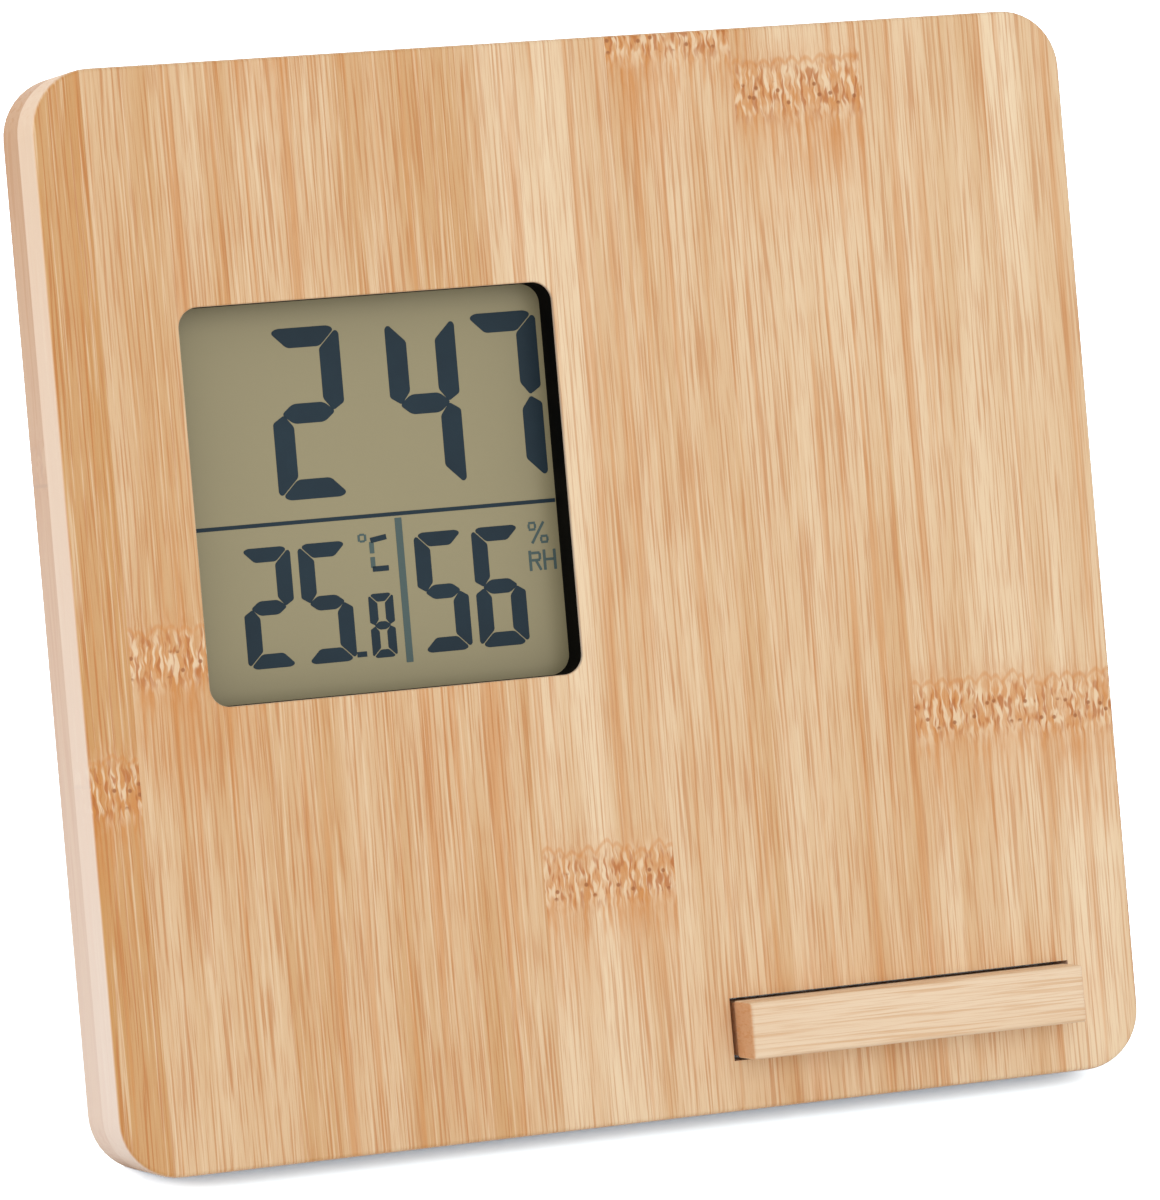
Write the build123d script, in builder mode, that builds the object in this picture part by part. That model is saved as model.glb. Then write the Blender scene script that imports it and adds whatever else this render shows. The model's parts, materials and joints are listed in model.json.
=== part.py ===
from build123d import *
import os
from math import cos, radians, sin

os.makedirs("parts", exist_ok=True)

# Bamboo desk clock with a recessed liquid-crystal display and a slide-out phone ledge.
# It leans back on its rear bottom edge and a fold-out leg. Sizes are in millimetres.
# u runs to the right across the panel, v up its face from the bottom edge, and a depth
# goes from the front face into the panel.

# Panel: two laminated bamboo boards glued face to face, 180 wide and 180 high. Its width and
# height follow from what it holds, which is added up further down.
front_thickness = 10
rear_thickness = 10
corner_radius = 10
edge_round = 0.8
lean_angle = 14.5
foot_flat_width = 5
overrun = 1

# Window in the front board, and its black liner, which sits in a rebate behind a thin lip of
# bamboo, so that from the front the wood runs right up to the display
window_width = 64.2
window_height = 65
window_radius = 3.3
window_round = 0.3
window_lip = 0.7
window_rim = 5.8
bezel_shy = 0.05
bezel_wall = 0.55
bezel_fit = 0.1
bezel_flange_width = 3
bezel_flange_thickness = 1.2

# Display
polariser_thickness = 0.2
polariser_inset = 0.5
glass_thickness = 0.7
glass_overlap_u = 1.6
glass_overlap_v = 3.5
reflector_thickness = 0.2
contact_ledge = 3
zebra_width = 2.2
zebra_inset = 3.5
zebra_clearance = 0.3
frame_wall = 2
frame_floor = 1
frame_clearance = 0.3
frame_corner_radius = 1.5

# Circuit boards and the pieces on them
board_thickness = 1.6
main_board_margin_u = 1
main_board_margin_v = 6.7
main_board_side_clearance = 0.9
main_board_top_clearance = 3.6
board_gap = 20.4
main_screw_inset_u = 4
main_screw_inset_v = 3.1
board_corner_radius = 1.5
chip_width = 12
chip_thickness = 1.6
chip_chamfer = 0.4
chip_drop = 8
crystal_radius = 1.5
crystal_length = 8
crystal_offset_u = 14
sensor_width = 3
sensor_thickness = 1
sensor_port_radius = 0.5
sensor_inset_u = 15
sensor_inset_v = 8
buzzer_radius = 6
buzzer_height = 4.5
buzzer_hole_radius = 1
buzzer_inset_u = 13
buzzer_inset_v = 11

# Pan-head screws that hold the boards to the bamboo
board_screw_radius = 1
board_screw_head_radius = 2
board_screw_head_height = 1.3
board_screw_bite = 5
thread_fit = 0.02
screw_hole_clearance = 0.2

# Phone charger behind the blank bamboo over the ledge
coil_outer_radius = 22
coil_inner_radius = 10
coil_thickness = 1.2
coil_cover = 4
coil_pocket_clearance = 3
coil_board_gap = 5
ferrite_thickness = 1
ferrite_overlap = 2
charger_board_width = 52
charger_board_height = 28
charger_clearance = 1.3
charger_screw_inset = 3.5
charger_chip_width = 5
charger_chip_thickness = 0.9
charger_chip_pitch = 11
inlet_width = 8.94
inlet_height = 3.26
inlet_wall = 0.3
inlet_floor = 1.5
inlet_tongue_width = 6.7
inlet_tongue_thickness = 0.7
inlet_tongue_set_back = 1
inlet_offset_u = 8
inlet_offset_v = -6
inlet_set_back = 0.6
inlet_clearance = 0.4
inlet_recess_margin = 2
inlet_recess_depth = 1

# Rear cover: moulded black shell let into the rear board
cover_side_margin = 10
cover_top_margin = 18
cover_bottom_margin = 30
cover_thickness = 2
cover_radius = 8
cover_round = 0.5
cover_gap = 0.3
cover_seat_width = 6
lip_thickness = 1.5
lip_height = 3
rib_thickness = 1.2
rib_height = 1.5
vent_count = 5
vent_length = 14
vent_width = 1.4
vent_pitch = 3
grille_ring_radius = 3.2
grille_ring_holes = 6
grille_hole_radius = 0.75

# Countersunk screws of the cover and of the ledge
cover_screw_radius = 1.3
cover_screw_head_radius = 2.5
cover_screw_length = 8
cover_screw_inset_v = 14
cross_length = 2.8
cross_width = 0.6
cross_depth = 0.9

# Buttons and key switches
button_count = 4
button_pitch = 10
button_row_inset_u = 22.4
button_row_inset_v = 24.7
button_radius = 3.6
button_clearance = 0.2
button_proud = 0.9
button_round = 0.6
button_flange_width = 1.1
button_flange_thickness = 0.8
button_play = 0.2
button_travel = 0.5
button_stem_radius = 1.6
switch_width = 6
switch_height = 3.5
switch_chamfer = 0.4
plunger_radius = 1.7
plunger_clearance = 0.1
plunger_proud = 1
plunger_depth = 0.9
guide_wall = 1.2

# Battery bay with two AAA cells
cell_radius = 5.25
cell_length = 44.5
nub_radius = 1.9
nub_length = 0.8
cell_round = 0.5
cell_gap = 0.3
bay_side_clearance = 0.65
bay_bottom_clearance = 1.15
bay_board_gap = 1.55
bay_wall = 1.2
bay_floor = 1
contact_thickness = 0.4
contact_width = 7
leaf_reach = 3.6
leaf_thickness = 0.3
door_thickness = 1.2
door_seat = 1.5
door_gap = 0.2
door_radius = 2
door_groove_count = 3
door_groove_length = 9
door_groove_width = 0.8
door_groove_depth = 0.4
door_groove_pitch = 2
door_groove_inset = 5
door_tab_width = 8
door_tab_height = 2

# Ledge
ledge_width = 60
ledge_height = 9.5
ledge_bottom_margin = 8.95
ledge_reach = 8
ledge_proud = 1.5
ledge_round = 0.7
ledge_shoulder = 0.3
ledge_relief = 0.2
ledge_gap_u = 0.7
ledge_gap_v = 0.5
ledge_guide = 6.3
flange_stop_gap = 0.1
flange_thickness = 1.5
flange_overlap_u = 3
flange_overlap_v = 2
flange_clearance = 0.5
flange_radius = 1
ledge_screw_radius = 1.25
ledge_screw_head_radius = 2.3
ledge_screw_length = 9
ledge_screw_spread_u = 20
spring_height = 5
spring_tab = 1.2
spring_gap = 0.1
pocket_end_gap = 0.3

# Leg and hinge
leg_width = 42
leg_thickness = 8
leg_angle = 8
leg_round = 1
leg_head = 12
leg_stop_gap = 0.2
foot_pad_thickness = 2
foot_pad_inset = 2
pin_v = 118
pin_height = 4.6
pin_radius = 1.5
pin_chamfer = 0.3
pin_press_gap = 0.01
pin_running_gap = 0.05
washer_radius = 3.4
washer_thickness = 0.5
washer_gap = 0.05
ear_thickness = 4
ear_radius = 4
ear_base = 16

# Slopes and heights that follow from the lean of the panel and of the leg
sin_lean = sin(radians(lean_angle))
cos_lean = cos(radians(lean_angle))
sin_leg = sin(radians(leg_angle))
cos_leg = cos(radians(leg_angle))
sin_open = sin(radians(lean_angle + leg_angle))
cos_open = cos(radians(lean_angle + leg_angle))
panel_thickness = front_thickness + rear_thickness
foot_cut = foot_flat_width * sin_lean * cos_lean
face_z = panel_thickness * sin_lean - foot_cut

# The hinge pin seen from the side, level with the panel's front bottom edge in y
pin_depth = panel_thickness + pin_height
pin_y = pin_v * sin_lean + pin_depth * cos_lean
pin_z = face_z + pin_v * cos_lean - pin_depth * sin_lean
half_leg = leg_thickness / 2
heel_run = (pin_z + half_leg * sin_leg) / cos_leg
heel_y = pin_y + heel_run * sin_leg + half_leg * cos_leg

# The whole clock is centred over the origin, from the ledge's nose to the leg's heel
nose_v = ledge_bottom_margin + ledge_round
nose_y = nose_v * sin_lean - (ledge_reach - ledge_round) * cos_lean - ledge_round
face_y = -(nose_y + heel_y) / 2

panel_face = Plane(origin=(0, face_y, face_z), x_dir=(1, 0, 0), z_dir=(0, -cos_lean, sin_lean))
inward = Axis((0, face_y, face_z), (0, cos_lean, -sin_lean))
up_panel = (0, sin_lean, cos_lean)


def level(depth):
    """Plane parallel to the panel's face, at a depth behind it."""
    return panel_face.offset(-depth)


def crosswise(u, v, depth):
    """Plane across the panel at a point: its x runs up the panel and its y out of the face."""
    return Plane(origin=panel_face.from_local_coords((u, v, -depth)), x_dir=up_panel, z_dir=(1, 0, 0))


def countersunk_screws(places, depth, shank_radius, head_radius, length):
    """Screws driven forward, with their flat heads flush at a depth."""
    with BuildPart() as screws:
        with BuildSketch(level(depth)):
            with Locations(*places):
                Circle(head_radius)
        extrude(amount=head_radius - shank_radius, taper=45)
        with BuildSketch(level(depth)):
            with Locations(*places):
                Circle(shank_radius)
        extrude(amount=length)
    return screws.part


def pan_screws(places, depth, shank_radius, head_radius, head_height, length):
    """Screws driven forward, with domed heads that stand behind a depth."""
    with BuildPart() as screws:
        with BuildSketch(level(depth)):
            with Locations(*places):
                Circle(head_radius)
        extrude(amount=-head_height)
        fillet(screws.faces().group_by(inward)[-1].edges(), head_height / 2)
        with BuildSketch(level(depth)):
            with Locations(*places):
                Circle(shank_radius)
        extrude(amount=length)
    return screws.part


def holes(places, depth, radius, length):
    """Round cutters that run forward from a depth."""
    with BuildPart() as cutters:
        with BuildSketch(level(depth)):
            with Locations(*places):
                Circle(radius)
        extrude(amount=length)
    return cutters.part


# How far the liner's inner and outer walls, and its rebate, stand back from the window's edge
bezel_outer = bezel_shy + bezel_wall
bezel_rebate = bezel_outer + bezel_fit

# Depths of the display's layers, from the window inwards, and the sizes of its frame and board
polariser_depth = window_rim + bezel_flange_thickness
front_glass_depth = polariser_depth + polariser_thickness
rear_glass_depth = front_glass_depth + glass_thickness
reflector_depth = rear_glass_depth + glass_thickness
frame_floor_depth = reflector_depth + reflector_thickness
glass_width = window_width + 2 * glass_overlap_u
glass_height = window_height + 2 * glass_overlap_v
frame_inner_width = glass_width + 2 * frame_clearance
frame_inner_height = glass_height + 2 * frame_clearance
frame_width = frame_inner_width + 2 * frame_wall
frame_height = frame_inner_height + 2 * frame_wall
main_board_width = frame_width + 2 * main_board_margin_u
main_board_height = frame_height + 2 * main_board_margin_v

# Battery bay, a box that hangs from the rear cover
bay_length = cell_length + contact_thickness + leaf_reach + contact_thickness
bay_height = 4 * cell_radius + 3 * cell_gap
bay_outer_length = bay_length + 2 * bay_wall
bay_outer_height = bay_height + 2 * bay_wall

# Across the panel: rim, display board, gap, charger board, rim
cover_rim = cover_seat_width - cover_gap
opening_width = (
    main_board_side_clearance + main_board_width + board_gap + charger_board_width + charger_clearance
)
cover_width = opening_width + 2 * cover_rim
panel_width = cover_width + 2 * cover_side_margin
opening_left = -opening_width / 2
main_board_left = opening_left + main_board_side_clearance
window_centre_u = main_board_left + main_board_width / 2
bay_centre_u = opening_left + bay_side_clearance + bay_outer_length / 2
ledge_centre_u = opening_width / 2 - charger_clearance - charger_board_width / 2

# Up the panel: rim, battery bay, display board, rim
opening_bottom = cover_bottom_margin + cover_rim
bay_centre_v = opening_bottom + bay_bottom_clearance + bay_outer_height / 2
main_board_bottom = bay_centre_v + bay_outer_height / 2 + bay_board_gap
window_centre_v = main_board_bottom + main_board_height / 2
main_board_top = main_board_bottom + main_board_height
opening_height = main_board_top + main_board_top_clearance - opening_bottom
cover_height = opening_height + 2 * cover_rim
panel_height = cover_bottom_margin + cover_height + cover_top_margin
cover_centre_v = cover_bottom_margin + cover_height / 2
ledge_centre_v = ledge_bottom_margin + ledge_height / 2
charger_board_v = opening_bottom + charger_clearance + charger_board_height / 2
coil_pocket_radius = coil_outer_radius + coil_pocket_clearance
coil_centre_v = charger_board_v + charger_board_height / 2 + coil_board_gap + coil_pocket_radius

# Centres of what lies in the panel
panel_centre = (0, panel_height / 2)
window_centre = (window_centre_u, window_centre_v)
cover_centre = (0, cover_centre_v)
bay_centre = (bay_centre_u, bay_centre_v)
ledge_centre = (ledge_centre_u, ledge_centre_v)
charger_centre = (ledge_centre_u, charger_board_v)
coil_centre = (ledge_centre_u, coil_centre_v)
zebra_offset = (glass_height - contact_ledge) / 2
zebra_places = [(window_centre_u, window_centre_v + side * zebra_offset) for side in (-1, 1)]

# Depths of the boards, which lie on the front board's rear face, and of the cover
board_rear_depth = front_thickness + board_thickness
cover_inner_depth = panel_thickness - cover_thickness
opening_radius = max(cover_radius - cover_rim, cover_gap)
main_screw_u = main_board_width / 2 - main_screw_inset_u
main_screw_v = main_board_height / 2 - main_screw_inset_v
charger_screw_u = charger_board_width / 2 - charger_screw_inset
charger_screw_v = charger_board_height / 2 - charger_screw_inset
main_screw_places = [
    (window_centre_u + i * main_screw_u, window_centre_v + j * main_screw_v)
    for i in (-1, 1)
    for j in (-1, 1)
]
charger_screw_places = [
    (ledge_centre_u + i * charger_screw_u, charger_board_v + j * charger_screw_v)
    for i in (-1, 1)
    for j in (-1, 1)
]
board_screw_places = main_screw_places + charger_screw_places
button_row_u = main_board_left + button_row_inset_u
button_row_v = main_board_top - button_row_inset_v
button_places = [
    (button_row_u + (i - (button_count - 1) / 2) * button_pitch, button_row_v)
    for i in range(button_count)
]
buzzer_place = (main_board_left + buzzer_inset_u, main_board_bottom + buzzer_inset_v)
sensor_place = (main_board_left + sensor_inset_u, main_board_top - sensor_inset_v)
inlet_place = (ledge_centre_u + inlet_offset_u, charger_board_v + inlet_offset_v)

# Depths in the battery bay
cell_offset = cell_radius + cell_gap / 2
door_depth = panel_thickness - door_thickness
cell_depth = door_depth - cell_gap - cell_radius
bay_bottom_depth = cell_depth - cell_radius - cell_gap

# Ledge
ledge_travel = ledge_reach - ledge_proud
flange_depth = ledge_guide + flange_stop_gap
flange_width = ledge_width + 2 * flange_overlap_u
flange_height = ledge_height + 2 * flange_overlap_v
spring_depth = flange_depth + flange_thickness
spring_rear_depth = spring_depth + leaf_thickness
pocket_width = flange_width + 2 * flange_clearance
pocket_height = flange_height + 2 * flange_clearance
pocket_depth = spring_rear_depth + spring_tab + ledge_travel + pocket_end_gap
ledge_screw_places = [
    (ledge_centre_u - ledge_screw_spread_u, ledge_centre_v),
    (ledge_centre_u + ledge_screw_spread_u, ledge_centre_v),
]

# Cover screws: two down each side and one in the middle of the top and of the bottom
cover_screw_u = (cover_width - cover_seat_width) / 2
cover_screw_v = (cover_height - cover_seat_width) / 2
cover_screw_spread_v = cover_height / 2 - cover_screw_inset_v
cover_screw_places = [
    (i * cover_screw_u, cover_centre_v + j * cover_screw_spread_v)
    for i in (-1, 1)
    for j in (-1, 1)
] + [(0, cover_centre_v + j * cover_screw_v) for j in (-1, 1)]

# Front board, with the window, the display's seat, and pockets behind for ledge, coil and cells
with BuildPart() as front_board:
    with BuildSketch(level(0)):
        with Locations(panel_centre):
            RectangleRounded(panel_width, panel_height, corner_radius)
    extrude(amount=-front_thickness)
    fillet(front_board.faces().sort_by(inward)[0].edges(), edge_round)
    with BuildSketch(level(-overrun)):
        with Locations(window_centre):
            RectangleRounded(window_width, window_height, window_radius)
    extrude(amount=-(front_thickness + 2 * overrun), mode=Mode.SUBTRACT)
    fillet(front_board.faces().sort_by(inward)[0].inner_wires()[0].edges(), window_round)
    with BuildSketch(level(window_lip)):
        with Locations(window_centre):
            RectangleRounded(
                window_width + 2 * bezel_rebate,
                window_height + 2 * bezel_rebate,
                window_radius + bezel_rebate,
            )
    extrude(amount=-front_thickness, mode=Mode.SUBTRACT)
    with BuildSketch(level(window_rim)):
        with Locations(window_centre):
            RectangleRounded(
                frame_width + 2 * frame_clearance, frame_height + 2 * frame_clearance, frame_corner_radius
            )
    extrude(amount=-front_thickness, mode=Mode.SUBTRACT)
    with BuildSketch(level(-overrun)):
        with Locations(ledge_centre):
            Rectangle(ledge_width + 2 * ledge_gap_u, ledge_height + 2 * ledge_gap_v)
    extrude(amount=-(front_thickness + 2 * overrun), mode=Mode.SUBTRACT)
    with BuildSketch(level(ledge_guide)):
        with Locations(ledge_centre):
            RectangleRounded(pocket_width, pocket_height, flange_radius)
    extrude(amount=-front_thickness, mode=Mode.SUBTRACT)
    with BuildSketch(level(coil_cover)):
        with Locations(coil_centre):
            Circle(coil_pocket_radius)
    extrude(amount=-front_thickness, mode=Mode.SUBTRACT)
    with BuildSketch(level(bay_bottom_depth - bay_floor - cover_gap)):
        with Locations(bay_centre):
            Rectangle(bay_outer_length + 2 * cover_gap, bay_outer_height + 2 * cover_gap)
    extrude(amount=-front_thickness, mode=Mode.SUBTRACT)
    add(
        holes(
            board_screw_places,
            front_thickness,
            board_screw_radius + thread_fit,
            board_screw_bite + thread_fit,
        ),
        mode=Mode.SUBTRACT,
    )
front_board.part.label = "front_board"
export_step(front_board.part, "parts/front_board.step")

# Rear board: an open frame round the works, with a seat for the cover and a planed foot
with BuildPart() as rear_board:
    with BuildSketch(level(front_thickness)):
        with Locations(panel_centre):
            RectangleRounded(panel_width, panel_height, corner_radius)
    extrude(amount=-rear_thickness)
    fillet(rear_board.faces().sort_by(inward)[-1].edges(), edge_round)
    with BuildSketch(level(front_thickness - overrun)):
        with Locations(cover_centre):
            RectangleRounded(opening_width, opening_height, opening_radius)
    extrude(amount=-(rear_thickness + 2 * overrun), mode=Mode.SUBTRACT)
    with BuildSketch(level(cover_inner_depth)):
        with Locations(cover_centre):
            RectangleRounded(
                cover_width + 2 * cover_gap, cover_height + 2 * cover_gap, cover_radius + cover_gap
            )
    extrude(amount=-rear_thickness, mode=Mode.SUBTRACT)
    with BuildSketch(level(pocket_depth)):
        with Locations(ledge_centre):
            RectangleRounded(pocket_width, pocket_height, flange_radius)
    extrude(amount=pocket_depth, mode=Mode.SUBTRACT)
    add(
        holes(
            cover_screw_places,
            cover_inner_depth + overrun,
            cover_screw_radius + thread_fit,
            cover_screw_length - cover_thickness + overrun + thread_fit,
        ),
        mode=Mode.SUBTRACT,
    )
    split(bisect_by=Plane.XY, keep=Keep.TOP)
rear_board.part.label = "rear_board"
export_step(rear_board.part, "parts/rear_board.step")

# Display bezel: thin black liner of the window with a flange behind the bamboo rim
with BuildPart() as display_bezel:
    with BuildSketch(level(window_lip)):
        with Locations(window_centre):
            RectangleRounded(
                window_width + 2 * bezel_outer, window_height + 2 * bezel_outer, window_radius + bezel_outer
            )
    extrude(amount=-(polariser_depth - window_lip))
    with BuildSketch(level(window_rim)):
        with Locations(window_centre):
            RectangleRounded(
                window_width + 2 * bezel_flange_width, window_height + 2 * bezel_flange_width, window_radius
            )
    extrude(amount=-bezel_flange_thickness)
    with BuildSketch(level(-overrun)):
        with Locations(window_centre):
            RectangleRounded(
                window_width + 2 * bezel_shy, window_height + 2 * bezel_shy, window_radius + bezel_shy
            )
    extrude(amount=-(polariser_depth + 2 * overrun), mode=Mode.SUBTRACT)
display_bezel.part.label = "display_bezel"
export_step(display_bezel.part, "parts/display_bezel.step")

# Display glass: polariser, front glass with contacts on its overhang, rear glass, reflector
with BuildPart() as lcd_polariser:
    with BuildSketch(level(polariser_depth)):
        with Locations(window_centre):
            Rectangle(glass_width - 2 * polariser_inset, glass_height - 2 * polariser_inset)
    extrude(amount=-polariser_thickness)
lcd_polariser.part.label = "lcd_polariser"
export_step(lcd_polariser.part, "parts/lcd_polariser.step")

with BuildPart() as lcd_front_glass:
    with BuildSketch(level(front_glass_depth)):
        with Locations(window_centre):
            Rectangle(glass_width, glass_height)
    extrude(amount=-glass_thickness)
lcd_front_glass.part.label = "lcd_front_glass"
export_step(lcd_front_glass.part, "parts/lcd_front_glass.step")

with BuildPart() as lcd_rear_glass:
    with BuildSketch(level(rear_glass_depth)):
        with Locations(window_centre):
            Rectangle(glass_width, glass_height - 2 * contact_ledge)
    extrude(amount=-glass_thickness)
lcd_rear_glass.part.label = "lcd_rear_glass"
export_step(lcd_rear_glass.part, "parts/lcd_rear_glass.step")

with BuildPart() as lcd_reflector:
    with BuildSketch(level(reflector_depth)):
        with Locations(window_centre):
            Rectangle(glass_width - 2 * polariser_inset, glass_height - 2 * (contact_ledge + polariser_inset))
    extrude(amount=-reflector_thickness)
lcd_reflector.part.label = "lcd_reflector"
export_step(lcd_reflector.part, "parts/lcd_reflector.step")

# Display frame: a tray that holds the glass over the main board, slotted for the zebra strips
with BuildPart() as lcd_frame:
    with BuildSketch(level(polariser_depth)):
        with Locations(window_centre):
            RectangleRounded(frame_width, frame_height, frame_corner_radius)
            Rectangle(frame_inner_width, frame_inner_height, mode=Mode.SUBTRACT)
    extrude(amount=-(front_thickness - polariser_depth))
    with BuildSketch(level(frame_floor_depth)):
        with Locations(window_centre):
            Rectangle(frame_inner_width + frame_wall, frame_inner_height + frame_wall)
        with Locations(*zebra_places):
            Rectangle(
                glass_width - 2 * (zebra_inset - zebra_clearance),
                zebra_width + 2 * zebra_clearance,
                mode=Mode.SUBTRACT,
            )
    extrude(amount=-frame_floor)
lcd_frame.part.label = "lcd_frame"
export_step(lcd_frame.part, "parts/lcd_frame.step")

with BuildPart() as zebra_strips:
    with BuildSketch(level(rear_glass_depth)):
        with Locations(*zebra_places):
            Rectangle(glass_width - 2 * zebra_inset, zebra_width)
    extrude(amount=-(front_thickness - rear_glass_depth))
zebra_strips.part.label = "zebra_strips"
export_step(zebra_strips.part, "parts/zebra_strips.step")

# Main board with its clock chip, crystal, climate sensor, buzzer and key switches
with BuildPart() as main_board:
    with BuildSketch(level(front_thickness)):
        with Locations(window_centre):
            RectangleRounded(main_board_width, main_board_height, board_corner_radius)
        with Locations(*main_screw_places):
            Circle(board_screw_radius + screw_hole_clearance, mode=Mode.SUBTRACT)
    extrude(amount=-board_thickness)
main_board.part.label = "main_board"
export_step(main_board.part, "parts/main_board.step")

with BuildPart() as clock_chip:
    with BuildSketch(level(board_rear_depth)):
        with Locations((window_centre_u, window_centre_v - chip_drop)):
            Rectangle(chip_width, chip_width)
    extrude(amount=-chip_thickness)
    chamfer(clock_chip.faces().sort_by(inward)[-1].edges(), chip_chamfer)
clock_chip.part.label = "clock_chip"
export_step(clock_chip.part, "parts/clock_chip.step")

with BuildPart() as quartz_crystal:
    crystal_base = panel_face.from_local_coords(
        (
            window_centre_u + crystal_offset_u,
            window_centre_v - chip_drop - crystal_length / 2,
            -(board_rear_depth + crystal_radius),
        )
    )
    with BuildSketch(Plane(origin=crystal_base, x_dir=(1, 0, 0), z_dir=up_panel)):
        Circle(crystal_radius)
    extrude(amount=crystal_length)
quartz_crystal.part.label = "quartz_crystal"
export_step(quartz_crystal.part, "parts/quartz_crystal.step")

with BuildPart() as climate_sensor:
    with BuildSketch(level(board_rear_depth)):
        with Locations(sensor_place):
            Rectangle(sensor_width, sensor_width)
    extrude(amount=-sensor_thickness)
    with BuildSketch(level(board_rear_depth + sensor_thickness)):
        with Locations(sensor_place):
            Circle(sensor_port_radius)
    extrude(amount=sensor_thickness / 2, mode=Mode.SUBTRACT)
climate_sensor.part.label = "climate_sensor"
export_step(climate_sensor.part, "parts/climate_sensor.step")

with BuildPart() as buzzer:
    with BuildSketch(level(board_rear_depth)):
        with Locations(buzzer_place):
            Circle(buzzer_radius)
    extrude(amount=-buzzer_height)
    chamfer(buzzer.faces().sort_by(inward)[-1].edges(), chip_chamfer)
    with BuildSketch(level(board_rear_depth + buzzer_height)):
        with Locations(buzzer_place):
            Circle(buzzer_hole_radius)
    extrude(amount=buzzer_height / 2, mode=Mode.SUBTRACT)
buzzer.part.label = "buzzer"
export_step(buzzer.part, "parts/buzzer.step")

switch_rear_depth = board_rear_depth + switch_height
plunger_rear_depth = switch_rear_depth + plunger_proud
plunger_front_depth = switch_rear_depth - plunger_depth
with BuildPart() as switch_bodies:
    with BuildSketch(level(board_rear_depth)):
        with Locations(*button_places):
            Rectangle(switch_width, switch_width)
    extrude(amount=-switch_height)
    chamfer(switch_bodies.faces().group_by(inward)[-1].edges(), switch_chamfer)
    with BuildSketch(level(switch_rear_depth)):
        with Locations(*button_places):
            Circle(plunger_radius + plunger_clearance)
    extrude(amount=plunger_depth + button_travel + plunger_clearance, mode=Mode.SUBTRACT)
switch_bodies.part.label = "switch_bodies"
export_step(switch_bodies.part, "parts/switch_bodies.step")

# Buttons: a dished cap in the cover, a flange that keeps it in, and a stem on the switch plunger
button_names = ["mode", "set", "up", "down"]
flange_rear_depth = cover_inner_depth - button_play
flange_front_depth = flange_rear_depth - button_flange_thickness
for button_name, place in zip(button_names, button_places):
    with BuildPart() as button:
        with BuildSketch(level(panel_thickness + button_proud)):
            with Locations(place):
                Circle(button_radius)
        extrude(amount=panel_thickness + button_proud - flange_front_depth)
        fillet(button.faces().sort_by(inward)[-1].edges(), button_round)
        with BuildSketch(level(flange_rear_depth)):
            with Locations(place):
                Circle(button_radius + button_flange_width)
        extrude(amount=button_flange_thickness)
        with BuildSketch(level(flange_front_depth)):
            with Locations(place):
                Circle(button_stem_radius)
        extrude(amount=flange_front_depth - plunger_rear_depth)
    button.part.label = "button_" + button_name
    export_step(button.part, "parts/button_" + button_name + ".step")

    with BuildPart() as plunger:
        with BuildSketch(level(plunger_rear_depth)):
            with Locations(place):
                Circle(plunger_radius)
        extrude(amount=plunger_rear_depth - plunger_front_depth)
    plunger.part.label = "plunger_" + button_name
    export_step(plunger.part, "parts/plunger_" + button_name + ".step")

# Screws of both boards
with BuildPart() as board_screws:
    add(
        pan_screws(
            board_screw_places,
            board_rear_depth,
            board_screw_radius,
            board_screw_head_radius,
            board_screw_head_height,
            board_thickness + board_screw_bite,
        )
    )
board_screws.part.label = "board_screws"
export_step(board_screws.part, "parts/board_screws.step")

# Charger: flat coil on the floor of its pocket, ferrite, board, chips and inlet
with BuildPart() as charging_coil:
    with BuildSketch(level(coil_cover)):
        with Locations(coil_centre):
            Circle(coil_outer_radius)
            Circle(coil_inner_radius, mode=Mode.SUBTRACT)
    extrude(amount=-coil_thickness)
charging_coil.part.label = "charging_coil"
export_step(charging_coil.part, "parts/charging_coil.step")

with BuildPart() as ferrite_sheet:
    with BuildSketch(level(coil_cover + coil_thickness)):
        with Locations(coil_centre):
            Circle(coil_outer_radius + ferrite_overlap)
    extrude(amount=-ferrite_thickness)
ferrite_sheet.part.label = "ferrite_sheet"
export_step(ferrite_sheet.part, "parts/ferrite_sheet.step")

with BuildPart() as charger_board:
    with BuildSketch(level(front_thickness)):
        with Locations(charger_centre):
            RectangleRounded(charger_board_width, charger_board_height, board_corner_radius)
        with Locations(*charger_screw_places):
            Circle(board_screw_radius + screw_hole_clearance, mode=Mode.SUBTRACT)
    extrude(amount=-board_thickness)
charger_board.part.label = "charger_board"
export_step(charger_board.part, "parts/charger_board.step")

with BuildPart() as charger_chips:
    with BuildSketch(level(board_rear_depth)):
        with Locations(
            (ledge_centre_u - charger_chip_pitch, charger_board_v),
            (ledge_centre_u, charger_board_v + charger_chip_width),
        ):
            Rectangle(charger_chip_width, charger_chip_width)
    extrude(amount=-charger_chip_thickness)
charger_chips.part.label = "charger_chips"
export_step(charger_chips.part, "parts/charger_chips.step")

inlet_mouth_depth = panel_thickness - inlet_set_back
inlet_length = inlet_mouth_depth - board_rear_depth
with BuildPart() as usb_inlet:
    with BuildSketch(level(board_rear_depth)):
        with Locations(inlet_place):
            SlotOverall(inlet_width, inlet_height)
    extrude(amount=-inlet_length)
    with BuildSketch(level(inlet_mouth_depth)):
        with Locations(inlet_place):
            SlotOverall(inlet_width - 2 * inlet_wall, inlet_height - 2 * inlet_wall)
    extrude(amount=inlet_length - inlet_floor, mode=Mode.SUBTRACT)
    with BuildSketch(level(board_rear_depth + inlet_floor)):
        with Locations(inlet_place):
            Rectangle(inlet_tongue_width, inlet_tongue_thickness)
    extrude(amount=-(inlet_length - inlet_floor - inlet_tongue_set_back))
usb_inlet.part.label = "usb_inlet"
export_step(usb_inlet.part, "parts/usb_inlet.step")

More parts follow.
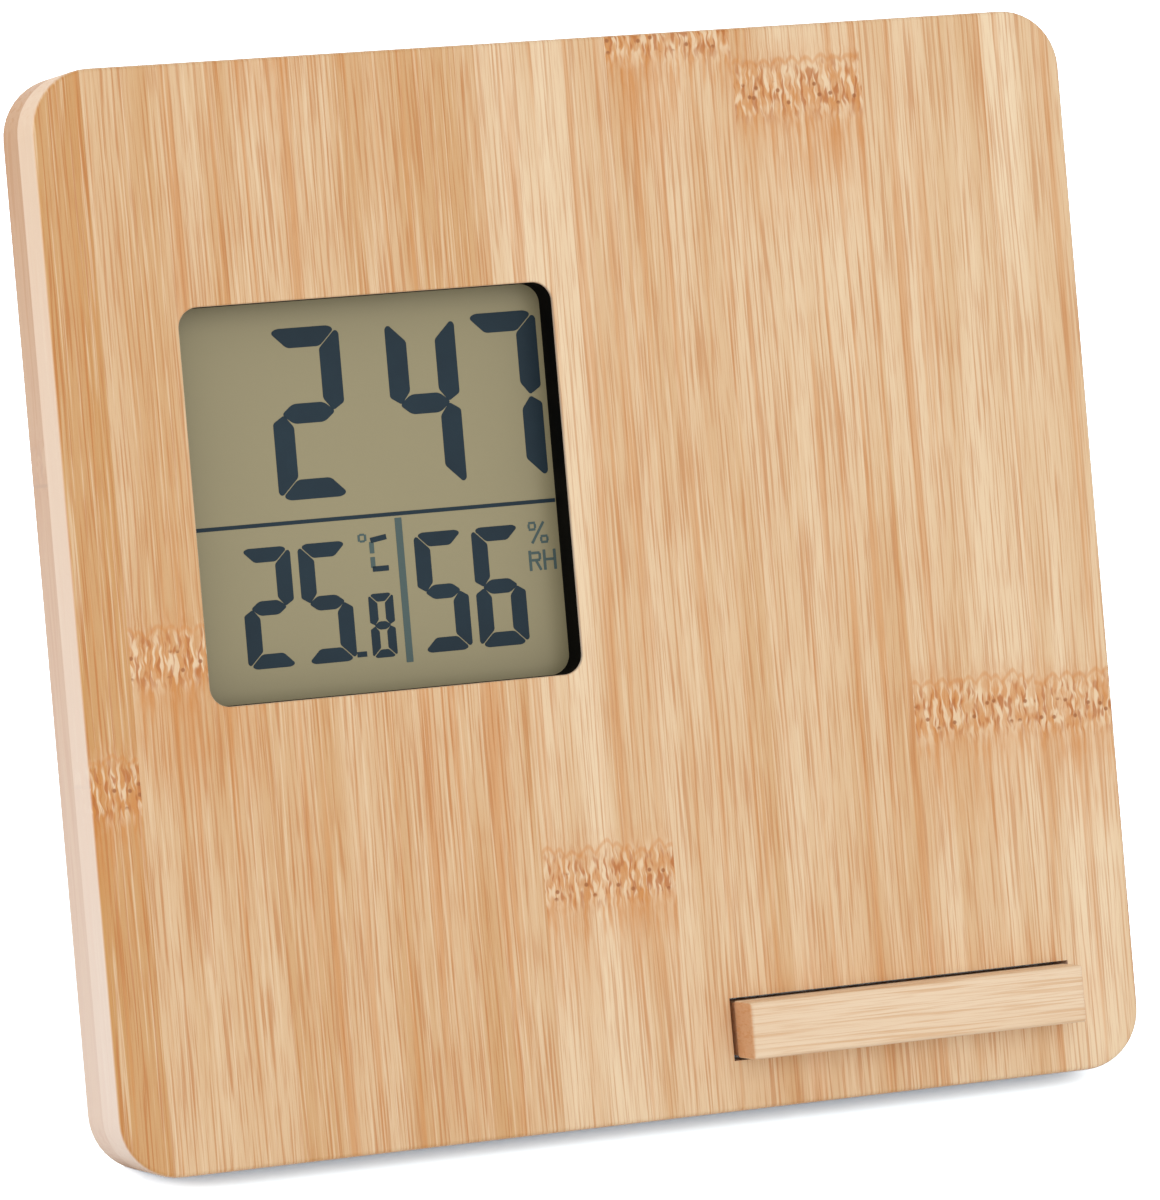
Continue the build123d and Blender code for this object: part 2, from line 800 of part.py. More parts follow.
# Rear cover: plate, lip, ribs, button guides, battery bay and hinge ears in one moulding
ear_inner = leg_width / 2 + washer_thickness + 2 * washer_gap
ear_outer = ear_inner + ear_thickness
cover_outline = (cover_width, cover_height, cover_radius)
lip_width = opening_width - 2 * cover_gap
lip_drop = opening_height - 2 * cover_gap
bay_walls_depth = bay_bottom_depth - bay_floor
pin_side = crosswise(0, pin_v, pin_depth)
with BuildPart() as rear_cover:
    with BuildSketch(level(cover_inner_depth)):
        with Locations(cover_centre):
            RectangleRounded(*cover_outline)
    extrude(amount=-cover_thickness)
    fillet(rear_cover.faces().sort_by(inward)[-1].edges(), cover_round)
    with BuildSketch(level(cover_inner_depth)):
        with Locations(cover_centre):
            RectangleRounded(lip_width, lip_drop, opening_radius)
            Rectangle(lip_width - 2 * lip_thickness, lip_drop - 2 * lip_thickness, mode=Mode.SUBTRACT)
    extrude(amount=lip_height)
    with BuildSketch(level(cover_inner_depth)):
        with Locations((0, cover_centre_v)):
            Rectangle(rib_thickness, lip_drop - lip_thickness)
        with Locations((ledge_centre_u, coil_centre_v)):
            Rectangle(rib_thickness, 2 * coil_outer_radius)
            Rectangle(2 * coil_outer_radius, rib_thickness)
        with Locations(*button_places):
            Circle(button_radius + button_clearance + button_flange_width + guide_wall)
    extrude(amount=rib_height)
    with BuildSketch(level(bay_walls_depth)):
        with Locations(bay_centre):
            Rectangle(bay_outer_length, bay_outer_height)
    extrude(amount=-(cover_inner_depth - bay_walls_depth))
    for side in (-1, 1):
        with BuildSketch(pin_side.offset(side * (ear_inner + ear_outer) / 2)):
            Circle(ear_radius)
            with Locations((0, pin_height + cover_thickness / 2)):
                Rectangle(ear_base, cover_thickness)
            make_hull()
        extrude(amount=ear_thickness / 2, both=True)
    with BuildSketch(pin_side):
        Circle(pin_radius + pin_press_gap)
    extrude(amount=ear_outer + overrun, both=True, mode=Mode.SUBTRACT)
    with BuildSketch(level(bay_bottom_depth)):
        with Locations(bay_centre):
            Rectangle(bay_length, bay_height)
    extrude(amount=-(panel_thickness - bay_bottom_depth + overrun), mode=Mode.SUBTRACT)
    with BuildSketch(level(door_depth)):
        with Locations(bay_centre):
            RectangleRounded(bay_length + 2 * door_seat, bay_height + 2 * door_seat, door_radius)
    extrude(amount=-(door_thickness + overrun), mode=Mode.SUBTRACT)
    with BuildSketch(level(cover_inner_depth - overrun - rib_height)):
        with Locations(*button_places):
            Circle(button_radius + button_clearance + button_flange_width)
    extrude(amount=-(overrun + rib_height), mode=Mode.SUBTRACT)
    with BuildSketch(level(cover_inner_depth - overrun)):
        with Locations(*button_places):
            Circle(button_radius + button_clearance)
        with Locations(buzzer_place):
            Circle(grille_hole_radius)
            with PolarLocations(grille_ring_radius, grille_ring_holes):
                Circle(grille_hole_radius)
        with Locations(sensor_place):
            with GridLocations(0, vent_pitch, 1, vent_count):
                SlotOverall(vent_length, vent_width)
        with Locations(inlet_place):
            SlotOverall(inlet_width + 2 * inlet_clearance, inlet_height + 2 * inlet_clearance)
    extrude(amount=-(cover_thickness + 2 * overrun), mode=Mode.SUBTRACT)
    with BuildSketch(level(panel_thickness - inlet_recess_depth)):
        with Locations(inlet_place):
            SlotOverall(inlet_width + 2 * inlet_recess_margin, inlet_height + 2 * inlet_recess_margin)
    extrude(amount=-(inlet_recess_depth + overrun), mode=Mode.SUBTRACT)
    add(
        countersunk_screws(
            cover_screw_places,
            panel_thickness,
            cover_screw_radius + screw_hole_clearance,
            cover_screw_head_radius + screw_hole_clearance,
            cover_screw_length,
        ),
        mode=Mode.SUBTRACT,
    )
rear_cover.part.label = "rear_cover"
export_step(rear_cover.part, "parts/rear_cover.step")

with BuildPart() as cover_screws:
    add(
        countersunk_screws(
            cover_screw_places,
            panel_thickness,
            cover_screw_radius,
            cover_screw_head_radius,
            cover_screw_length,
        )
    )
    with BuildSketch(level(panel_thickness)):
        with Locations(*cover_screw_places):
            Rectangle(cross_length, cross_width)
            Rectangle(cross_width, cross_length)
    extrude(amount=cross_depth, mode=Mode.SUBTRACT)
cover_screws.part.label = "cover_screws"
export_step(cover_screws.part, "parts/cover_screws.step")

# Battery door: flush plate with thumb grooves and two tabs that centre it in the bay
door_length = bay_length + 2 * (door_seat - door_gap)
door_height = bay_height + 2 * (door_seat - door_gap)
door_groove_u = bay_centre_u + door_length / 2 - door_groove_inset
tab_offset_v = bay_height / 2 - door_gap - leaf_thickness
with BuildPart() as battery_door:
    with BuildSketch(level(door_depth)):
        with Locations(bay_centre):
            RectangleRounded(door_length, door_height, door_radius - door_gap)
    extrude(amount=-door_thickness)
    with BuildSketch(level(panel_thickness)):
        with Locations((door_groove_u, bay_centre_v)):
            with GridLocations(door_groove_pitch, 0, door_groove_count, 1):
                SlotOverall(door_groove_length, door_groove_width, rotation=90)
    extrude(amount=door_groove_depth, mode=Mode.SUBTRACT)
    with BuildSketch(level(door_depth)):
        with Locations(bay_centre):
            with GridLocations(0, 2 * tab_offset_v, 1, 2):
                Rectangle(door_tab_width, 2 * leaf_thickness)
    extrude(amount=door_tab_height)
battery_door.part.label = "battery_door"
export_step(battery_door.part, "parts/battery_door.step")

# Cells: the upper one has its nub to the right, the lower one to the left
cell_left_u = bay_centre_u - bay_length / 2
cell_right_u = bay_centre_u + bay_length / 2
for cell_name, side in (("upper", 1), ("lower", -1)):
    nub_end_u = bay_centre_u + side * (bay_length / 2 - contact_thickness)
    with BuildPart() as cell:
        with BuildSketch(crosswise(nub_end_u, bay_centre_v + side * cell_offset, cell_depth)):
            Circle(nub_radius)
        extrude(amount=-side * nub_length)
        can_plane = crosswise(nub_end_u - side * nub_length, bay_centre_v + side * cell_offset, cell_depth)
        with BuildSketch(can_plane):
            Circle(cell_radius)
        extrude(amount=-side * (cell_length - nub_length))
        fillet(cell.edges().filter_by(GeomType.CIRCLE).group_by(SortBy.RADIUS)[-1], cell_round)
    cell.part.label = "battery_" + cell_name
    export_step(cell.part, "parts/battery_" + cell_name + ".step")


def leaf_profile(side, v):
    """Bowed contact leaf seen along the panel's depth, from the bay's end wall to the cell."""
    wall_u = bay_centre_u + side * (bay_length / 2 - contact_thickness)
    crown_u = wall_u - side * leaf_reach
    foot = cell_radius - leaf_thickness
    with BuildPart() as leaf:
        with BuildSketch(level(cell_depth - contact_width / 2)):
            with BuildLine():
                ThreePointArc((wall_u, v - foot), (crown_u, v), (wall_u, v + foot))
                Line((wall_u, v + foot), (wall_u, v + foot - leaf_thickness))
                ThreePointArc(
                    (wall_u, v + foot - leaf_thickness),
                    (crown_u + side * leaf_thickness, v),
                    (wall_u, v - foot + leaf_thickness),
                )
                Line((wall_u, v - foot + leaf_thickness), (wall_u, v - foot))
            make_face()
        extrude(amount=-contact_width)
    return leaf.part


# Contacts: one plate and one leaf at the right, and a link plate with its leaf at the left
contact_half = cell_radius - leaf_thickness
with BuildPart() as battery_positive:
    with BuildSketch(level(cell_depth - contact_width / 2)):
        with Locations((cell_right_u - contact_thickness / 2, bay_centre_v + cell_offset)):
            Rectangle(contact_thickness, 2 * contact_half)
    extrude(amount=-contact_width)
battery_positive.part.label = "battery_positive"
export_step(battery_positive.part, "parts/battery_positive.step")

with BuildPart() as battery_negative:
    with BuildSketch(level(cell_depth - contact_width / 2)):
        with Locations((cell_right_u - contact_thickness / 2, bay_centre_v - cell_offset)):
            Rectangle(contact_thickness, 2 * contact_half)
    extrude(amount=-contact_width)
    add(leaf_profile(1, bay_centre_v - cell_offset))
battery_negative.part.label = "battery_negative"
export_step(battery_negative.part, "parts/battery_negative.step")

with BuildPart() as battery_link:
    with BuildSketch(level(cell_depth - contact_width / 2)):
        with Locations((cell_left_u + contact_thickness / 2, bay_centre_v)):
            Rectangle(contact_thickness, 2 * (cell_offset + contact_half))
    extrude(amount=-contact_width)
    add(leaf_profile(-1, bay_centre_v + cell_offset))
battery_link.part.label = "battery_link"
export_step(battery_link.part, "parts/battery_link.step")

# Ledge: bamboo bar, steel flange behind the slot, leaf spring and two screws. The bar's tongue,
# which runs in the slot, is planed a little thinner than the part that carries the phone.
with BuildPart() as ledge_bar:
    with BuildSketch(level(-ledge_reach)):
        with Locations(ledge_centre):
            Rectangle(ledge_width, ledge_height)
    extrude(amount=-(ledge_reach - ledge_shoulder))
    fillet(ledge_bar.faces().sort_by(inward)[0].edges(), ledge_round)
    with BuildSketch(level(-ledge_shoulder)):
        with Locations(ledge_centre):
            Rectangle(ledge_width - 2 * ledge_relief, ledge_height - 2 * ledge_relief)
    extrude(amount=-(ledge_shoulder + flange_depth))
    fillet(ledge_bar.edges().filter_by(inward), ledge_round / 2)
    add(
        holes(
            ledge_screw_places,
            flange_depth + overrun,
            ledge_screw_radius + thread_fit,
            ledge_screw_length - spring_rear_depth + flange_depth + overrun + thread_fit,
        ),
        mode=Mode.SUBTRACT,
    )
ledge_bar.part.label = "ledge_bar"
export_step(ledge_bar.part, "parts/ledge_bar.step")

with BuildPart() as ledge_flange:
    with BuildSketch(level(flange_depth)):
        with Locations(ledge_centre):
            RectangleRounded(flange_width, flange_height, flange_radius)
    extrude(amount=-flange_thickness)
    add(
        countersunk_screws(
            ledge_screw_places,
            spring_rear_depth,
            ledge_screw_radius + screw_hole_clearance,
            ledge_screw_head_radius + screw_hole_clearance,
            ledge_screw_length,
        ),
        mode=Mode.SUBTRACT,
    )
ledge_flange.part.label = "ledge_flange"
export_step(ledge_flange.part, "parts/ledge_flange.step")

spring_length = pocket_width - 2 * spring_gap
with BuildPart() as ledge_spring:
    with BuildSketch(level(spring_depth)):
        with Locations(ledge_centre):
            Rectangle(spring_length, spring_height)
    extrude(amount=-leaf_thickness)
    with BuildSketch(level(spring_depth)):
        with Locations(ledge_centre):
            with GridLocations(spring_length - leaf_thickness, 0, 2, 1):
                Rectangle(leaf_thickness, spring_height)
    extrude(amount=-(leaf_thickness + spring_tab))
    add(
        countersunk_screws(
            ledge_screw_places,
            spring_rear_depth,
            ledge_screw_radius + screw_hole_clearance,
            ledge_screw_head_radius + screw_hole_clearance,
            ledge_screw_length,
        ),
        mode=Mode.SUBTRACT,
    )
ledge_spring.part.label = "ledge_spring"
export_step(ledge_spring.part, "parts/ledge_spring.step")

with BuildPart() as ledge_screws:
    add(
        countersunk_screws(
            ledge_screw_places,
            spring_rear_depth,
            ledge_screw_radius,
            ledge_screw_head_radius,
            ledge_screw_length,
        )
    )
ledge_screws.part.label = "ledge_screws"
export_step(ledge_screws.part, "parts/ledge_screws.step")

# Leg, drawn from the side with x down the leg and y towards the rear. Its head is cut to a
# slope that meets the cover when the leg is open, and its foot is cut level.
leg_side = Plane(
    origin=(0, face_y + pin_y, pin_z),
    x_dir=(0, sin_leg, -cos_leg),
    z_dir=(1, 0, 0),
)
stop_distance = pin_height - leg_stop_gap
stop_front = -(stop_distance - half_leg * cos_open) / sin_open
stop_top = (leg_head * sin_open - stop_distance) / cos_open


def leg_point(height, rearward):
    """Point of the leg's side at a height over the table, in the leg's own directions."""
    return ((pin_z - height + rearward * sin_leg) / cos_leg, rearward)


with BuildPart() as leg:
    with BuildSketch(leg_side):
        with BuildLine():
            Polyline(
                leg_point(foot_pad_thickness, -half_leg),
                (stop_front, -half_leg),
                (-leg_head, stop_top),
                (-leg_head, half_leg),
                leg_point(foot_pad_thickness, half_leg),
                close=True,
            )
        make_face()
    extrude(amount=leg_width / 2, both=True)
    fillet(leg.edges().filter_by(Axis(leg_side.origin, leg_side.x_dir)), leg_round)
    with BuildSketch(leg_side):
        Circle(pin_radius + pin_running_gap)
    extrude(amount=leg_width, both=True, mode=Mode.SUBTRACT)
leg.part.label = "leg"
export_step(leg.part, "parts/leg.step")

with BuildPart() as leg_foot_pad:
    with BuildSketch(leg_side):
        with BuildLine():
            Polyline(
                leg_point(foot_pad_thickness, -half_leg),
                leg_point(foot_pad_thickness, half_leg),
                leg_point(0, half_leg),
                leg_point(0, -half_leg),
                close=True,
            )
        make_face()
    extrude(amount=leg_width / 2 - foot_pad_inset, both=True)
leg_foot_pad.part.label = "leg_foot_pad"
export_step(leg_foot_pad.part, "parts/leg_foot_pad.step")

with BuildPart() as hinge_pin:
    with BuildSketch(leg_side):
        Circle(pin_radius)
    extrude(amount=ear_outer, both=True)
    chamfer(hinge_pin.edges().filter_by(GeomType.CIRCLE), pin_chamfer)
hinge_pin.part.label = "hinge_pin"
export_step(hinge_pin.part, "parts/hinge_pin.step")

with BuildPart() as leg_washers:
    for side in (-1, 1):
        with BuildSketch(leg_side.offset(side * (leg_width / 2 + washer_gap + washer_thickness / 2))):
            Circle(washer_radius)
            Circle(pin_radius + pin_running_gap, mode=Mode.SUBTRACT)
        extrude(amount=washer_thickness / 2, both=True)
leg_washers.part.label = "leg_washers"
export_step(leg_washers.part, "parts/leg_washers.step")
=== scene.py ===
import json
from math import cos, radians, sin

import bmesh
import bpy
from mathutils import Matrix, Vector


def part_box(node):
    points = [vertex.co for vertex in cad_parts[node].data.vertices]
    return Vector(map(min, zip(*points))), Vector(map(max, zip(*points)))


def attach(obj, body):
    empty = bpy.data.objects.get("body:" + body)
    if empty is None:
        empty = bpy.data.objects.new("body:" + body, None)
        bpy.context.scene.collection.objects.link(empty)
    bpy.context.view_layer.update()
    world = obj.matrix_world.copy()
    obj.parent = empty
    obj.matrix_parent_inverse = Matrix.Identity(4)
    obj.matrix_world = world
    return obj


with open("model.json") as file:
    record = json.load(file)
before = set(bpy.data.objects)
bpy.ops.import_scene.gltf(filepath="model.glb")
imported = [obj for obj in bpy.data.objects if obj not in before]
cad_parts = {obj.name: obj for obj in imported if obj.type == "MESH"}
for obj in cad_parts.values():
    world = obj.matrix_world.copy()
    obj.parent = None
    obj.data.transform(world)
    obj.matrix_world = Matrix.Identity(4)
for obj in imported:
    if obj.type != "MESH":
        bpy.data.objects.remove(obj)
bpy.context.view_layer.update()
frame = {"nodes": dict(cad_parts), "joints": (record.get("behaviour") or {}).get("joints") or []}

nodes = frame["nodes"]
scene = bpy.context.scene
scene.view_settings.view_transform = "Standard"

# Camera. It looks at the clock from its left and from a little above, a bit over a metre away
# through a long lens, so that the upright edges of the panel stay nearly parallel.
MM = 0.001
view_left = radians(19.888)
view_down = radians(14.705)
view_distance = 1124.9 * MM
view_target = Vector((0.41, 0, 84.92)) * MM
sight = Vector((sin(view_left) * cos(view_down), cos(view_left) * cos(view_down), -sin(view_down)))
camera_data = bpy.data.cameras.new("camera")
camera_data.lens = 201.8
camera_data.sensor_width = 36
camera = bpy.data.objects.new("camera", camera_data)
camera.location = view_target - sight * view_distance
camera.rotation_euler = sight.to_track_quat("-Z", "Y").to_euler()
scene.collection.objects.link(camera)
scene.camera = camera


def srgb(hex_colour):
    """Linear colour of a six-digit sRGB hex value."""
    channels = [int(hex_colour[i:i + 2], 16) / 255 for i in (0, 2, 4)]
    return [c / 12.92 if c <= 0.04045 else ((c + 0.055) / 1.055) ** 2.4 for c in channels] + [1]


def add_node(tree, kind, links=None, **settings):
    """Adds a shader node, sets its properties, and links or sets its sockets."""
    node = tree.nodes.new("ShaderNode" + kind)
    for setting, value in settings.items():
        setattr(node, setting, value)
    for socket, value in (links or {}).items():
        if isinstance(value, bpy.types.Node):
            value = value.outputs[0]
        if isinstance(value, bpy.types.NodeSocket):
            tree.links.new(value, node.inputs[socket])
        else:
            node.inputs[socket].default_value = value
    return node


def start_material(name):
    """A material with an empty node tree, and that tree."""
    material = bpy.data.materials.new(name)
    material.use_nodes = True
    material.node_tree.nodes.clear()
    return material, material.node_tree


# Table and studio. A pale table top under a white sky that lights everything softly, with big
# lamps in front and behind, and one at the left, behind the panel's face, that catches its side.
floor_size = 6
floor_mesh = bpy.data.meshes.new("floor")
floor_shape = bmesh.new()
bmesh.ops.create_grid(floor_shape, x_segments=1, y_segments=1, size=floor_size / 2)
floor_shape.to_mesh(floor_mesh)
floor_shape.free()
floor = bpy.data.objects.new("floor", floor_mesh)
scene.collection.objects.link(floor)

# Painted board. The camera sees it overexposed, as a product photograph's table is, so that only
# a short contact shadow shows on it; its glow is for the camera alone too.
overexposure = (1.34, 1.67, 1.86, 1)
glow_strength = 0.25
table_finish, tree = start_material("white_painted_board")
rays = add_node(tree, "LightPath")
paint = add_node(tree, "BsdfDiffuse", {"Color": srgb("E9EAEC")})
overexposed = add_node(tree, "AddShader", {
    0: add_node(tree, "BsdfDiffuse", {"Color": overexposure}),
    1: add_node(tree, "Emission", {"Color": srgb("95C3E7"), "Strength": glow_strength})})
overexposed = add_node(tree, "AddShader", {0: paint, 1: overexposed})
table_surface = add_node(tree, "MixShader", {
    0: rays.outputs["Is Camera Ray"], 1: paint, 2: overexposed})
add_node(tree, "OutputMaterial", {0: table_surface})
floor_mesh.materials.append(table_finish)

# Sky. White where the camera or a reflection sees it, and a little dimmer as light.
sky_strength = 0.78
world = bpy.data.worlds.new("white_room")
world.use_nodes = True
tree = world.node_tree
tree.nodes.clear()
rays = add_node(tree, "LightPath")
seen = add_node(tree, "Math", {
    0: rays.outputs["Is Camera Ray"], 1: rays.outputs["Is Glossy Ray"]}, operation="MAXIMUM")
seen = add_node(tree, "Math", {0: seen, 1: rays.outputs["Is Transmission Ray"]}, operation="MAXIMUM")
room = add_node(tree, "MixShader", {
    0: seen,
    1: add_node(tree, "Background", {"Color": srgb("F5F7FA"), "Strength": sky_strength}),
    2: add_node(tree, "Background", {"Color": (1, 1, 1, 1), "Strength": 1})})
add_node(tree, "OutputWorld", {0: room})
scene.world = world


def soft_lamp(name, place, aim, size, power, colour):
    """A square soft box that faces a point, its size in metres and its power in watts."""
    data = bpy.data.lights.new(name, "AREA")
    data.size = size
    data.energy = power
    data.color = srgb(colour)[:3]
    lamp = bpy.data.objects.new(name, data)
    lamp.location = place
    lamp.rotation_euler = (Vector(aim) - Vector(place)).to_track_quat("-Z", "Y").to_euler()
    scene.collection.objects.link(lamp)


clock_middle = (0, 0, 0.09)
for name, place, size, power, colour in (
        ("front_lamp", (0.1, -2.3, 0.9), 2.4, 21, "FFFCF8"),
        ("back_lamp", (0.9, 2.3, 1.0), 2.0, 9, "FFFCF8"),
        ("side_lamp", (-1.6, 0.55, 0.45), 0.5, 8, "FFF8F4")):
    soft_lamp(name, place, clock_middle, size, power, colour)

# Axes of the leaning panel. The ledge slides square to the panel's face, so its joint gives the
# direction into the panel, and the display film, 7 mm behind the face and 72.2 mm up from its
# foot, gives the face's place.
ledge_joint = next(j for j in frame["joints"] if j["name"] == "ledge_slide")
inward = -Vector(ledge_joint["axis"]) if ledge_joint["axis"][1] < 0 else Vector(ledge_joint["axis"])
upward = Vector((0, -inward.z, inward.y))
across = Vector((1, 0, 0))
lean = Vector((0, 0, 1)).angle(upward)
film_depth = 7.0 * MM
film_thickness = 0.2 * MM
film_foot_height = 72.2 * MM
film_low, film_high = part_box("lcd_polariser")
film_height = (film_high.z - film_low.z + film_thickness * inward.z) / upward.z
film_foot = Vector((0, film_low.y, film_high.z - film_height * upward.z))
face_foot = film_foot - film_foot_height * upward - film_depth * inward


def on_panel(u, v, depth):
    """Point u right of the middle, v up the face and depth behind it, all in mm."""
    return face_foot + (u * across + v * upward + depth * inward) * MM


# Bamboo boards. Strips of split bamboo, planed and glued edge to edge, under a thin satin lacquer.
# Each strip has its own tone and fibres, and most have a wavy, pitted mark of the stalk's joint.
strip_width = 22.5
# A strip's joint mark is told to the ramp as a share of this range along the board, in mm
mark_start, mark_range = -400, 800
# Fibre layers: grain across, through and along in mm, detail, the range of the noise that shows,
# how much of it, its colour, and the part of a joint mark that it is kept to, if any
ribs = {
    "clouds": (7.5, 9, 140, 1.5, 0.38, 0.66, 0.60, "tan", None),
    "bundles": (2.1, 4, 170, 2.0, 0.54, 0.66, 0.58, "amber", None),
    "pale_threads": (0.55, 2, 42, 2.0, 0.52, 0.64, 0.46, "pale", None),
    "threads": (0.42, 2, 26, 1.0, 0.50, 0.66, 0.66, "streak", None),
    "hairs": (0.26, 1, 9, 1.0, 0.48, 0.72, 0.42, "streak", None),
    # Painted shade: a broad amber darkening below each strip's joint mark, which on the middle strip
    # falls just above the ledge
    "painted_shade": (8, 9, 60, 1.0, 0.30, 0.60, 0.34, "amber", 0),
    "haze": (6, 9, 5, 1.0, 0.32, 0.62, 0.26, "amber", 1),
    "tails": (1.1, 3, 14, 2.0, 0.46, 0.62, 0.70, "amber", 0),
    "blotches": (3.6, 4, 4.5, 2.0, 0.42, 0.62, 0.62, "amber", 1),
    "pale_dashes": (0.80, 3, 4.0, 1.0, 0.48, 0.60, 0.80, "pale", 1),
    "dashes": (0.72, 3, 3.4, 1.0, 0.51, 0.63, 0.85, "ridge", 1),
}
# Parts of a joint mark, by the distance above it in mm: how strong its tails and the painted shade
# below it, its body, the curl of its fibres and its pits are
mark_parts = [
    (-30, (0, 0, 0, 0)), (-15, (0.5, 0, 0, 0)), (-10, (0.9, 0.1, 0.3, 0)), (-7.4, (1, 0.7, 1, 0)),
    (-6.8, (0.9, 0.9, 1, 1)), (-3.2, (0.6, 1, 1, 1)), (-2.6, (0.4, 1, 1, 0)), (-0.5, (0.3, 0.7, 1, 0)),
    (1.6, (0.2, 0.15, 0.5, 0)), (5, (0, 0, 0, 0))]
mark_low, mark_high = -40, 10
# Fibres run faint in a pale strip and strong in a dark one. They wander along the board and curl
# round a joint mark: how far in mm, and the size of the waves across, through and along
faint_fibres, strong_fibres = 0.72, 1.24
wander_width, wander_wave = 0.9, (22, 20, 110)
curl_width, curl_wave = 0.36, (1.3, 3.0, 1.7)
# The ridge line over a joint mark waves up and down by this many mm, in scallops that are the
# humps of a sine, at so many radians per mm
ridge_height, ridge_wave_size, scallop_turn = 2.4, (4.5, 6, 60), 1.25
pit_pitch = 3.2
# Thin lines and dots: the distance in mm (of a pit, in pitches) at which each starts to show, the
# distance at which it shows in full, and how much of it shows
ridge_line, pit_dot, glue_line = (0.65, 0.10, 0.42), (0.15, 0.065, 0.85), (0.22, 0.08, 0.30)
# Sawn sides and ends show by the cosine of their angle to the face and to the fibres, and a sawn
# side changes its tone between two heights up the board, in mm
side_start, side_full = 0.80, 0.30
end_start, end_full, end_share = 0.60, 0.95, 0.6
cut_low, cut_high = 20, 175
fibre_relief = 0.05
lacquer_roughness, fibre_roughness, lacquer_ior = 0.42, 0.56, 1.45


